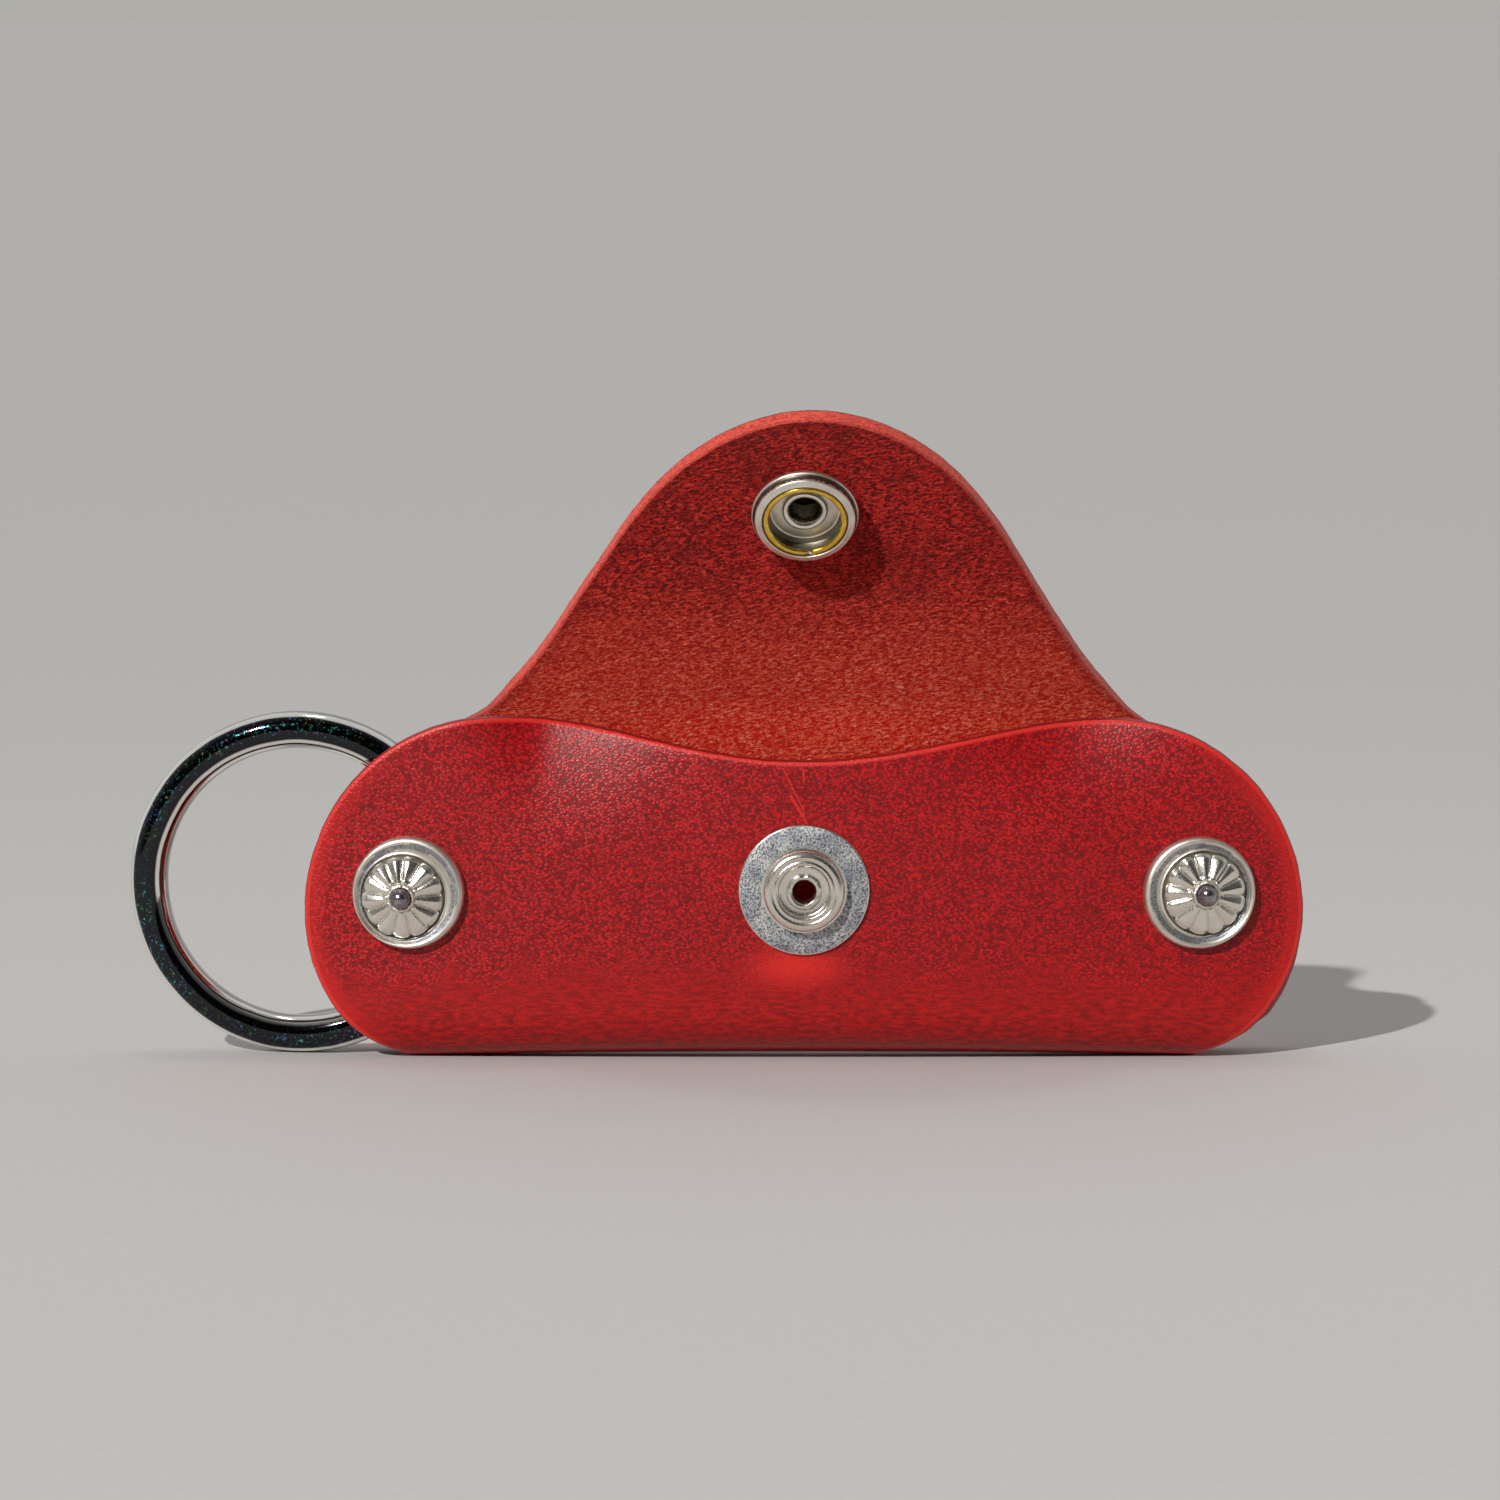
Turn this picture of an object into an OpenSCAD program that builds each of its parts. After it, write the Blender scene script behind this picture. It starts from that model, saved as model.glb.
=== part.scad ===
// Folded leather key case: one piece of leather makes the front, the fold, the back and the flap.
// It stands on its fold. +X is to the right, -Y is the front, and the fold's underside is at Z = 0.

/* [Leather] */
// Thickness of the leather
leather_t = 2; // [1.6:0.1:2.6]
// Gap of the pocket between the two panels
pocket_gap = 4.6; // [4.4:0.1:6]
// Radius at which the whole case curves, seen from above
bend_r = 375; // [250:5:600]
// Depth of the flat that the fold stands on
rest_depth = 0.2; // [0.1:0.05:0.4]

/* [Panels] */
// Half of the case's width
case_half_w = 50; // [46:0.2:56]
// Height of the widest place of the rounded ends
end_z = 14.8; // [12:0.2:17]
// Radius of the upper half of the rounded ends, measured across
end_upper_w = 19; // [16:0.5:22]
// Width of the rounded corner below the widest place
end_lower_w = 12.2; // [9:0.1:14]
// Height of the front panel's shoulders
shoulder_z = 34.1; // [32:0.1:34.4]
// How much higher the left shoulder was cut
left_lift = 0.3; // [0:0.1:0.8]
// Depth of the dip in the middle of the front panel's top edge
dip_depth = 3.9; // [2:0.1:6]
// How much lower the back panel's shoulders lie
back_drop = 1; // [0.4:0.1:2]
// Height at which the back panel ends and the flap's bend starts
crease_z = 35; // [34.6:0.1:36]
// Half of the flap's width at the bend
crease_half_w = 32; // [30:0.2:33]

/* [Flap] */
// Lean of the open flap, forward from upright
flap_lean = 33; // [20:1:45]
// Length of the bending strip over the pocket's mouth
bridge_len = 9.8; // [8:0.1:12]
// Length of the flap from the bend to its tip
flap_len = 36.3; // [34:0.1:42]
// Half of the flap's width where its side turns into the rounded tip
tip_half_w = 16.3; // [14:0.1:19]
// Length of the rounded tip
tip_len = 10.1; // [8:0.1:13]
// How far off-centre, to the right, the flap was cut at the bend
root_shift = 0.4; // [0:0.05:1]
// How far off-centre, to the right, the flap was cut at the tip
tip_shift = 0.85; // [0:0.05:1.5]

/* [Ring snap] */
// Distance of the socket from the bend, along the leather
socket_s = 25.7; // [24.5:0.1:28]
// Height of the stud above the floor
stud_z = 17.4; // [15:0.1:19]
// Radius of the stud's flange
stud_flange_r = 6.55; // [6:0.05:7]
// Thickness of the stud's flange
stud_flange_t = 0.4; // [0.3:0.05:0.6]
// Height of the stud above its flange
stud_h = 1.6; // [1.4:0.05:1.7]
// Radius of the stud's bulb
stud_bulb_r = 4.05; // [3.8:0.05:4.05]
// Radius of the socket
socket_r = 5.25; // [5.1:0.05:5.8]
// Height of the socket above the leather
socket_h = 2.5; // [2.4:0.05:3]
// Radius of the socket's mouth
socket_mouth_r = 4.17; // [4.15:0.01:4.25]
// Radius of the spring's brass wire
spring_wire_r = 0.28; // [0.2:0.01:0.3]
// Angle of the gap in the spring
spring_gap = 14; // [6:1:30]
// Radius of the cap outside the flap
cap_r = 6.4; // [6:0.1:7.5]
// Height of the cap's dome
cap_h = 1.9; // [1.5:0.1:2.6]

/* [Screw posts] */
// Distance of each post from the nearest end of the case
post_inset = 11; // [10:0.5:14]
// Height of the posts above the floor
post_z = 16.9; // [15:0.1:18]
// Radius of the post's barrel
barrel_r = 1.75; // [1.6:0.05:2.1]
// Radius of the post's slotted head at the back
post_head_r = 5; // [4.4:0.1:6]
// Thickness of the post's head
post_head_t = 1.2; // [1:0.1:1.6]
// Radius of the cup at the front
cup_r = 5.65; // [5.2:0.05:6]
// Radius of the sunburst disc
flower_r = 4.2; // [3.8:0.05:4.25]
// Number of petals of the sunburst
petals = 13; // [9:1:18]
// Radius of the ball in the middle
bead_r = 1.05; // [0.95:0.05:1.2]

/* [Key ring] */
// Radius of the ring's wire
ring_wire_r = 1.9; // [1.5:0.05:1.95]
// Radius of the ring to the middle of its wire
ring_mid_r = 15.4; // [13:0.1:17]

/* [Hidden] */
$fn = 64;

leather_color = [0.62, 0.06, 0.07];
flesh_color = [0.7, 0.12, 0.07];
silver_color = [0.82, 0.81, 0.78];
steel_color = [0.7, 0.71, 0.74];
brass_color = [0.82, 0.66, 0.22];

// Overrun of every cut, and the clearances of parts that sit in each other
overrun = 1;
hole_clearance = 0.1;
shank_clearance = 0.05;
spring_clearance = 0.05;
seat_gap = 0.1;
ring_clearance = 0.05;
// The ring's wire has dented the fold's left corner: where the dent starts, and its height
dent_clearance = 0.15;
dent_x = 3.4;
dent_z = 3.4;

// Steps of the outlines' curves
arc_steps = 10;
dip_steps = 14;
side_steps = 12;
bridge_rows = 4;
bridge_columns = 12;

// Handles of the curves along the flap's side and round its tip
tip_flat_w = 7.6;
tip_flank_w = 3.1;
tip_flank_len = 4.4;
side_upper_w = 5.1;
side_upper_len = 7.3;
side_lower_w = 5.9;
side_lower_len = 6.3;
// Angle of the back panel's rounded end at which the flap's flare starts, and the flare's handle
flare_angle = 70;
flare_handle_w = 2.3;
flare_handle_len = 2.2;

fold_z = pocket_gap / 2 + leather_t - rest_depth;
panel_mid = (pocket_gap + leather_t) / 2;
panel_out = pocket_gap / 2 + leather_t;
shell_angle = 2 * asin((case_half_w + overrun) / (bend_r - panel_out));
post_angle = asin((case_half_w - post_inset) / bend_r);

// Sizes of the ring snap's small pieces, measured along its axis from the leather
shell_t = 0.3;
floor_t = 0.2;
socket_base_r = 4.45;
socket_waist_h = 1.1;
socket_edge_h = 1.4;
rim_bevel_w = 0.3;
rim_drop = 0.5;
lip_t = 0.25;
lip_w = 0.6;
rivet_r = 1.85;
rivet_bore_r = 1.2;
rivet_flange_r = 5.6;
rivet_flange_t = 0.4;
cap_shell_t = 0.35;
cap_rim_h = 0.6;
spring_h = 1.95;
spring_out = 0.03;
spring_mid_r = socket_mouth_r - spring_wire_r + spring_out;
spring_groove_r = socket_mouth_r + spring_out + spring_clearance;
stud_neck_r = 3.5;
stud_neck_h = 0.5;
stud_bulb_h = 1;
stud_top_r = 3.2;
stud_step_r = 2.5;
stud_step_depth = 0.35;
eyelet_r = 1.5;
eyelet_bore_r = 1.15;
eyelet_flange_r = 4;
eyelet_flange_t = 0.35;
eyelet_lip_r = 1.6;

// Sizes of the screw posts' small pieces, measured along the axis from the front leather
cup_rim_r = 0.62;
cup_rim_h = 0.55;
cup_floor_t = 0.5;
cup_boss_r = 3.2;
cup_boss_h = 0.9;
flower_edge_t = 0.35;
flower_h = 1.2;
flower_top_r = 1.5;
groove_w = 0.6;
groove_depth = 0.35;
collar_wire_r = 0.22;
screw_r = 0.9;
screw_len = 5;
slot_w = 0.9;
slot_depth = 0.6;
head_edge_t = 0.7;

ring_z = ring_mid_r + ring_wire_r;
ring_lift = ring_z - post_z;
ring_reach = ring_mid_r - ring_wire_r - barrel_r - ring_clearance;
ring_offset = sqrt(ring_reach * ring_reach - ring_lift * ring_lift);

function bezier(a, b, c, d, steps) = [for (i = [0:steps]) let (t = i / steps, u = 1 - t)
    u * u * u * a + 3 * u * u * t * b + 3 * u * t * t * c + t * t * t * d];
function mirrored(points) = [for (i = [len(points) - 1:-1:0]) [-points[i][0], points[i][1]]];
function curve_back(x) = bend_r - sqrt(bend_r * bend_r - x * x);

// Right half of a panel's rounded end, from the bottom up to a chosen angle
function end_curve(top_z, last_angle) = concat(
    [for (i = [0:arc_steps]) let (a = -90 + 90 * i / arc_steps)
        [case_half_w - end_lower_w + end_lower_w * cos(a), end_z + end_z * sin(a)]],
    [for (i = [1:arc_steps]) let (a = last_angle * i / arc_steps)
        [case_half_w - end_upper_w + end_upper_w * cos(a), end_z + (top_z - end_z) * sin(a)]]);

// Half of the front panel's dipped top edge, for a shoulder that is lifted
function dip_curve(lift) = let (w = case_half_w - end_upper_w)
    [for (i = [1:dip_steps]) let (x = w * (1 - i / dip_steps))
        [x, shoulder_z + lift - (dip_depth + lift) * (1 + cos(180 * x / w)) / 2]];

// Side of the flap, from the bend to the tip: half width, length along the leather
flap_half = let (
    crease = [crease_half_w, 0],
    waist = [tip_half_w, flap_len - tip_len],
    tip = [0, flap_len])
    concat(
        bezier(crease, crease + [-side_lower_w, side_lower_len], waist + [side_upper_w, -side_upper_len],
            waist, side_steps),
        [for (p = bezier(waist, waist + [-tip_flank_w, tip_flank_len], tip + [tip_flat_w, 0],
            tip, side_steps)) if (p[1] > waist[1]) p]);
function flap_half_w(s) = lookup(s, [for (p = flap_half) [p[1], p[0]]]);
function flap_shift(s) = root_shift + (tip_shift - root_shift) * s / flap_len;
function flap_side(side, from_s) = concat([[flap_half_w(from_s) + side * flap_shift(from_s), from_s]],
    [for (p = flap_half) if (p[1] > from_s) [p[0] + side * flap_shift(p[1]), p[1]]]);

function front_side(lift) = concat(end_curve(shoulder_z + lift, 90), dip_curve(lift));
function back_side(lift, crease_w) = let (
    end = end_curve(shoulder_z + lift - back_drop, flare_angle),
    from = end[len(end) - 1],
    crease = [crease_w, crease_z])
    concat(end, [for (p = bezier(from, from + [-flare_handle_w, flare_handle_len / 3],
        crease + [flare_handle_w / 2, -flare_handle_len / 2], crease, arc_steps)) if (p[1] > from[1]) p]);

// Half of the folded section, from the middle of the fold to a height
module half_section(top_z) {
    translate([pocket_gap / 2, fold_z]) square([leather_t, top_z - fold_z]);
    translate([0, fold_z]) intersection() {
        difference() {
            circle(panel_out);
            circle(pocket_gap / 2);
        }
        translate([0, -panel_out]) square([panel_out, panel_out]);
    }
}

// Sweeps a section along the case's curve; the section's x is the distance forward of the pocket's middle
module curved() {
    translate([0, bend_r, 0]) rotate(-90 - shell_angle / 2)
        rotate_extrude(angle = shell_angle, $fn = 360) translate([bend_r, 0]) children();
}

module outline_mask(right, left) {
    rotate([90, 0, 0]) linear_extrude(4 * bend_r, center = true) polygon(concat(right, mirrored(left)));
}

// Local frames: z points out of the leather, along the piece's axis
module at_post(side) {
    translate([0, bend_r, 0]) rotate(side * post_angle) translate([0, -bend_r, post_z])
        rotate([90, 0, 0]) children();
}
module at_cup(side) { at_post(side) translate([0, 0, panel_out]) children(); }
module at_stud() { translate([0, -panel_out, stud_z]) rotate([90, 0, 0]) children(); }
module on_flap() { translate([0, panel_mid, crease_z]) rotate([90 + flap_lean, 0, 0]) children(); }
module at_socket() { on_flap() translate([0, socket_s, leather_t / 2]) children(); }

module ring_profile(inner_r, outer_r, height) {
    translate([inner_r, 0]) square([outer_r - inner_r, height]);
}

module ring_dent() {
    at_post(-1) translate([-case_half_w - dent_x, -post_z - overrun, -ring_wire_r - dent_clearance])
        cube([case_half_w, dent_z + overrun, 2 * (ring_wire_r + dent_clearance)]);
}

module front_panel() {
    difference() {
        intersection() {
            curved() half_section(shoulder_z + left_lift + overrun);
            outline_mask(front_side(0), front_side(left_lift));
        }
        ring_dent();
    }
}

module back_panel() {
    difference() {
        intersection() {
            curved() mirror([1, 0]) half_section(crease_z + overrun);
            outline_mask(back_side(0, crease_half_w + root_shift),
                back_side(left_lift, crease_half_w - root_shift));
        }
        ring_dent();
    }
}

module leather_case() {
    color(leather_color) difference() {
        union() {
            front_panel();
            back_panel();
        }
        for (side = [-1, 1]) at_post(side)
            cylinder(r = barrel_r + hole_clearance, h = 4 * panel_out, center = true);
        at_stud() translate([0, 0, -leather_t - overrun])
            cylinder(r = eyelet_r + hole_clearance, h = leather_t + 2 * overrun);
    }
}

// The strip's foot follows the curved back panel, and its far end is straight like the flap
module leather_bridge() {
    rows = [for (j = [0:bridge_rows]) bridge_len * j / bridge_rows];
    slope = [0, -sin(flap_lean), cos(flap_lean)];
    normal = [0, cos(flap_lean), sin(flap_lean)];
    function place(s, k, side) = let (
        x = flap_shift(s) + flap_half_w(s) * k,
        curve = [0, curve_back(x) * (1 - s / bridge_len), 0],
        foot = [x, panel_mid + side * leather_t / 2, crease_z])
        s == 0 && side > 0 ? foot + curve :
        s == 0 ? [x, panel_mid, crease_z] + slope * tan(flap_lean) * leather_t / 2
            - normal * leather_t / 2 + curve :
        [x, panel_mid, crease_z] + slope * s + side * normal * leather_t / 2 + curve;
    columns = [for (i = [-bridge_columns:bridge_columns]) i / bridge_columns];
    n = len(columns);
    layer = n * len(rows);
    points = concat(
        [for (s = rows) for (k = columns) place(s, k, -1)],
        [for (s = rows) for (k = columns) place(s, k, 1)]);
    faces = concat(
        [for (j = [0:bridge_rows - 1]) for (i = [0:n - 2]) let (a = j * n + i)
            each [[a, a + n, a + n + 1], [a, a + n + 1, a + 1]]],
        [for (j = [0:bridge_rows - 1]) for (i = [0:n - 2]) let (a = layer + j * n + i)
            each [[a, a + n + 1, a + n], [a, a + 1, a + n + 1]]],
        [for (i = [0:n - 2]) each [[i, i + 1, layer + i + 1], [i, layer + i + 1, layer + i]]],
        [for (i = [0:n - 2]) let (a = layer - n + i)
            each [[a, layer + a + 1, a + 1], [a, layer + a, layer + a + 1]]],
        [for (j = [0:bridge_rows - 1]) let (a = j * n)
            each [[a, layer + a, layer + a + n], [a, layer + a + n, a + n]]],
        [for (j = [0:bridge_rows - 1]) let (a = j * n + n - 1)
            each [[a, layer + a + n, layer + a], [a, a + n, layer + a + n]]]);
    color(flesh_color) polyhedron(points, faces);
}

module leather_flap() {
    color(flesh_color) on_flap() difference() {
        translate([0, 0, -leather_t / 2]) linear_extrude(leather_t)
            polygon(concat(flap_side(1, bridge_len), mirrored(flap_side(-1, bridge_len))));
        translate([0, socket_s, -leather_t]) cylinder(r = rivet_r + hole_clearance, h = 2 * leather_t);
    }
}

module snap_cap() {
    color(silver_color) at_socket() translate([0, 0, -leather_t]) mirror([0, 0, 1]) rotate_extrude() {
        ring_profile(cap_r - cap_shell_t, cap_r, cap_rim_h);
        dome_profile(cap_r, cap_h - cap_rim_h, cap_rim_h, cap_shell_t);
    }
}

// Half of a shallow dome's section: a shell of one thickness on a rim of a given height
module dome_profile(rim_r, rise, base_z, wall_t) {
    sphere_r = (rim_r * rim_r + rise * rise) / (2 * rise);
    translate([0, base_z]) intersection() {
        difference() {
            translate([0, rise - sphere_r]) circle(sphere_r, $fn = 180);
            translate([0, rise - sphere_r]) circle(sphere_r - wall_t, $fn = 180);
        }
        square([rim_r, rise]);
    }
}

module snap_rivet() {
    color(silver_color) at_socket() rotate_extrude() {
        translate([0, -leather_t - rivet_flange_t]) ring_profile(rivet_bore_r, rivet_flange_r, rivet_flange_t);
        translate([0, -leather_t]) ring_profile(rivet_bore_r, rivet_r, leather_t + shell_t + floor_t + lip_t);
        translate([0, shell_t + floor_t]) ring_profile(rivet_bore_r, rivet_r + lip_w, lip_t);
    }
}

module snap_socket() {
    inner_r = rivet_r + shank_clearance;
    color(silver_color) at_socket() rotate_extrude() difference() {
        polygon([[inner_r, 0], [socket_base_r, 0], [socket_r, socket_waist_h], [socket_r, socket_edge_h],
            [socket_r - rim_bevel_w, socket_h - rim_drop], [socket_mouth_r, socket_h], [inner_r, socket_h]]);
        translate([0, shell_t]) square([socket_mouth_r, socket_h]);
        translate([0, spring_h - spring_wire_r - spring_clearance])
            square([spring_groove_r, 2 * (spring_wire_r + spring_clearance)]);
    }
}

module snap_socket_floor() {
    color(silver_color) at_socket() translate([0, 0, shell_t])
        rotate_extrude() ring_profile(rivet_r + shank_clearance, socket_mouth_r - shank_clearance, floor_t);
}

module snap_spring() {
    color(brass_color) at_socket() translate([0, 0, spring_h]) rotate(-90 + spring_gap / 2)
        rotate_extrude(angle = 360 - spring_gap) translate([spring_mid_r, 0]) circle(spring_wire_r, $fn = 24);
}

module snap_stud() {
    top = stud_flange_t + stud_h;
    color(silver_color) at_stud() rotate_extrude() difference() {
        polygon([[0, 0], [stud_flange_r, 0], [stud_flange_r, stud_flange_t],
            [stud_neck_r, stud_flange_t], [stud_neck_r, stud_flange_t + stud_neck_h],
            [stud_bulb_r, stud_flange_t + stud_bulb_h], [stud_top_r, top], [0, top]]);
        square([eyelet_r + shank_clearance, top + overrun]);
        translate([0, top - stud_step_depth]) square([stud_step_r, stud_step_depth + overrun]);
    }
}

module snap_eyelet() {
    lip_z = stud_flange_t + stud_h - stud_step_depth;
    color(silver_color) at_stud() rotate_extrude() {
        translate([0, -leather_t - seat_gap - eyelet_flange_t])
            ring_profile(eyelet_bore_r, eyelet_flange_r, eyelet_flange_t);
        translate([0, -leather_t - seat_gap])
            ring_profile(eyelet_bore_r, eyelet_r, leather_t + seat_gap + lip_z);
        translate([0, lip_z]) ring_profile(eyelet_bore_r, eyelet_lip_r, lip_t);
    }
}

module cup(side) {
    color(silver_color) at_cup(side) rotate_extrude() difference() {
        union() {
            translate([cup_r - cup_rim_r, cup_rim_h]) circle(cup_rim_r);
            ring_profile(cup_r - 2 * cup_rim_r, cup_r, cup_rim_h);
            square([cup_r - cup_rim_r, cup_floor_t]);
            square([cup_boss_r, cup_boss_h]);
        }
        square([screw_r + shank_clearance, cup_boss_h + overrun]);
        translate([0, -2 * cup_rim_r]) square([cup_r + overrun, 2 * cup_rim_r]);
    }
}

module flower(side) {
    rise = flower_h - flower_edge_t;
    tilt = atan2(rise, flower_r - flower_top_r);
    color(silver_color) at_cup(side) translate([0, 0, cup_boss_h]) difference() {
        rotate_extrude() difference() {
            polygon([[0, 0], [flower_r, 0], [flower_r, flower_edge_t], [flower_top_r, flower_h], [0, flower_h]]);
            square([screw_r + shank_clearance, flower_h + overrun]);
        }
        for (i = [0:petals - 1]) rotate(360 * (i + 0.5) / petals)
            translate([flower_r, 0, flower_edge_t]) rotate([0, tilt, 0]) rotate([90, 0, -90])
                translate([0, 0, -overrun]) linear_extrude(flower_r - flower_top_r + overrun)
                    polygon([[0, -groove_depth], [groove_w, groove_depth], [-groove_w, groove_depth]]);
    }
}

module collar(side) {
    color(silver_color) at_cup(side) translate([0, 0, cup_boss_h + flower_h + collar_wire_r])
        rotate_extrude() translate([bead_r + collar_wire_r + shank_clearance, 0]) circle(collar_wire_r);
}

module bead_screw(side) {
    bead_z = cup_boss_h + flower_h + sqrt(bead_r * bead_r - screw_r * screw_r);
    color(steel_color) at_cup(side) {
        translate([0, 0, bead_z]) sphere(bead_r);
        translate([0, 0, -screw_len]) cylinder(r = screw_r, h = screw_len + bead_z);
    }
}

module post(side) {
    barrel_len = 2 * panel_out + seat_gap;
    color(steel_color) at_cup(side) translate([0, 0, -barrel_len]) difference() {
        union() {
            cylinder(r = barrel_r, h = barrel_len);
            mirror([0, 0, 1]) cylinder(r = post_head_r, h = head_edge_t);
            translate([0, 0, -head_edge_t]) mirror([0, 0, 1])
                cylinder(r1 = post_head_r, r2 = post_head_r - (post_head_t - head_edge_t),
                    h = post_head_t - head_edge_t);
        }
        translate([0, 0, barrel_len - screw_len - overrun])
            cylinder(r = screw_r + shank_clearance, h = screw_len + 2 * overrun);
        translate([0, 0, -post_head_t]) cube([2 * post_head_r + overrun, slot_w, 2 * slot_depth], center = true);
    }
}

module key_ring() {
    color(steel_color) at_post(-1) translate([-ring_offset, ring_lift, 0])
        rotate_extrude($fn = 120) translate([ring_mid_r, 0]) circle(ring_wire_r);
}

leather_case();
leather_bridge();
leather_flap();
snap_cap();
snap_rivet();
snap_socket();
snap_socket_floor();
snap_spring();
snap_stud();
snap_eyelet();
cup(-1);  // left_cup
flower(-1);  // left_flower
collar(-1);  // left_collar
bead_screw(-1);  // left_bead_screw
post(-1);  // left_post
cup(1);  // right_cup
flower(1);  // right_flower
collar(1);  // right_collar
bead_screw(1);  // right_bead_screw
post(1);  // right_post
key_ring();
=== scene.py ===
import math

import bmesh
import bpy
import numpy as np
from mathutils import Matrix, Vector, noise
from mathutils.geometry import delaunay_2d_cdt


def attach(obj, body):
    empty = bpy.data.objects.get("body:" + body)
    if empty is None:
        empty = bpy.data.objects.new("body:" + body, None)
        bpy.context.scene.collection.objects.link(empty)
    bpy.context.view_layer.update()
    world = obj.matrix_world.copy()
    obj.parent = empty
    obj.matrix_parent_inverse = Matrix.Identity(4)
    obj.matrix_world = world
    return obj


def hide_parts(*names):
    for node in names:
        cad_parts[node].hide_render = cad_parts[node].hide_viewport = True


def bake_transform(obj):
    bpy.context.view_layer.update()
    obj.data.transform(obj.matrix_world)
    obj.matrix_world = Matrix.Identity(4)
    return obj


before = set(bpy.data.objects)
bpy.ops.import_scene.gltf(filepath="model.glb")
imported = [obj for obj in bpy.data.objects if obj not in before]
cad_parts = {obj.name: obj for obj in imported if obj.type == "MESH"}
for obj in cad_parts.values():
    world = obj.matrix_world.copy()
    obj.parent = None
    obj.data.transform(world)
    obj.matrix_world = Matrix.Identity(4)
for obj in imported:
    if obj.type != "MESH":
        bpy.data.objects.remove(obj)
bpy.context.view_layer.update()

# ---------------------------------------------------------------- sizes, in millimetres as in the part
MM = 0.001
LEATHER_T = 2.0
GAP = 4.6              # the pocket, between the two panels
BEND_R = 375.0         # the whole case is bowed to this radius, its ends towards the back
OUTER_R = GAP / 2 + LEATHER_T
MID_R = GAP / 2 + LEATHER_T / 2
FOLD_Z = 4.1           # height of the fold's centre
HALF_W = 50.0
END_Z = 14.8           # height where the rounded ends are widest
UPPER_W = 19.0
LOWER_W = 12.2
SHOULDER_Z = 34.1
LEFT_LIFT = 0.3        # the left shoulder stands higher
DIP = 3.9              # of the front panel's top edge, in its middle
BACK_DROP = 1.0
BACK_FLARE = math.radians(70)
CREASE_Z = 35.0        # where the flap bends forward, over the pocket
CREASE_W = 32.0
BEND_HALF = 3.2        # the lean builds up over this length on each side of the crease
LEAN = math.radians(33)
BRIDGE = 9.8
FLAP_LEN = 36.3
TIP_W = 16.3
TIP_LEN = 10.1
# handles of the outline's curves, across and along: at the flap's root, along its sides and round its tip
FLARE = (2.3, 2.2)
SIDE_LOWER, SIDE_UPPER = (5.9, 6.3), (5.1, 7.3)
TIP_FLANK, TIP_FLAT = (3.1, 4.4), 7.6
ROOT_SHIFT = 0.4       # the flap stands a little to the right, its tip more than its root
TIP_SHIFT = 0.85
SOCKET_S = 25.7
STUD_Z = 17.4
POST_X = 39.0
POST_Z = 16.9
POST_ANGLE = math.asin(POST_X / BEND_R)
POST_R = 1.75
RING_WIRE_R = 1.9
RING_MID_R = 15.4
SEAM_S = 5.0           # the leather is two meshes, which meet this far above the crease
P_FOLD = MID_R * math.pi / 2
P_CREASE = P_FOLD + CREASE_Z - FOLD_Z

# Sags of the front panel's upper part, from handling: x of the deepest place, depth, and width to its left
# and to its right. The left one is narrow on its left, so that the ring can swing.
SAG_Z, SAG_TALL, SAG_POWER = 20.5, 13.5, 1.75
SAGS = ((-25.2, 2.9, 5.4, 13.0), (26.5, 2.7, 10.0, 10.0))
# The fold's underside arches up by ARCH between the case's ends. Low down near the right end the leather's
# grain side stands back from its flesh side, by SPREAD for each unit of o.
ARCH, ARCH_HALF_W, ARCH_TALL = 1.05, 39.5, 13
SPREAD, SPREAD_FROM_X, SPREAD_TALL = 0.45, 30, 12
SEAT_FADE = 5          # the leather's unevenness starts over this length round the hardware


def smooth(t):
    t = min(1.0, max(0.0, t))
    return t * t * (3 - 2 * t)


def bezier(a, b, c, d, steps):
    out = []
    for i in range(steps + 1):
        t = i / steps
        u = 1 - t
        w = (u * u * u, 3 * u * u * t, 3 * u * t * t, t * t * t)
        out.append(tuple(sum(k * p[j] for k, p in zip(w, (a, b, c, d))) for j in (0, 1)))
    return out


def wobble(x, y, z, scale, seed):
    return noise.noise(Vector((x / scale + 13.1 * seed, y / scale - 7.7 * seed, z / scale + 3.3 * seed)))


# ---------------------------------------------------------------- the leather as one bent sheet
# A point of the sheet is (x, p, o): x across, p along the leather from the middle of the fold's underside,
# negative up the front panel, positive up the back panel, over the bend and along the flap, and o out from
# the leather's middle towards the grain side, 1 at the grain face and -1 at the flesh face.
def front_p(z):
    return -(P_FOLD + z - FOLD_Z)


def back_p(z):
    return P_FOLD + z - FOLD_Z


STUD_P = front_p(STUD_Z)
SOCKET_P = P_CREASE + SOCKET_S
# places under the hardware that stay flat: x, p and radius
SEATS = ((0, STUD_P, 7), (-POST_X, front_p(POST_Z), 6.2), (POST_X, front_p(POST_Z), 6.2),
         (-POST_X, back_p(POST_Z), 5.6), (POST_X, back_p(POST_Z), 5.6), (0, SOCKET_P, 6.6))


def lower_half_width(z):
    a = math.asin(max(-1.0, min(0.0, (z - END_Z) / END_Z)))
    return HALF_W - LOWER_W + LOWER_W * math.cos(a)


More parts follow.
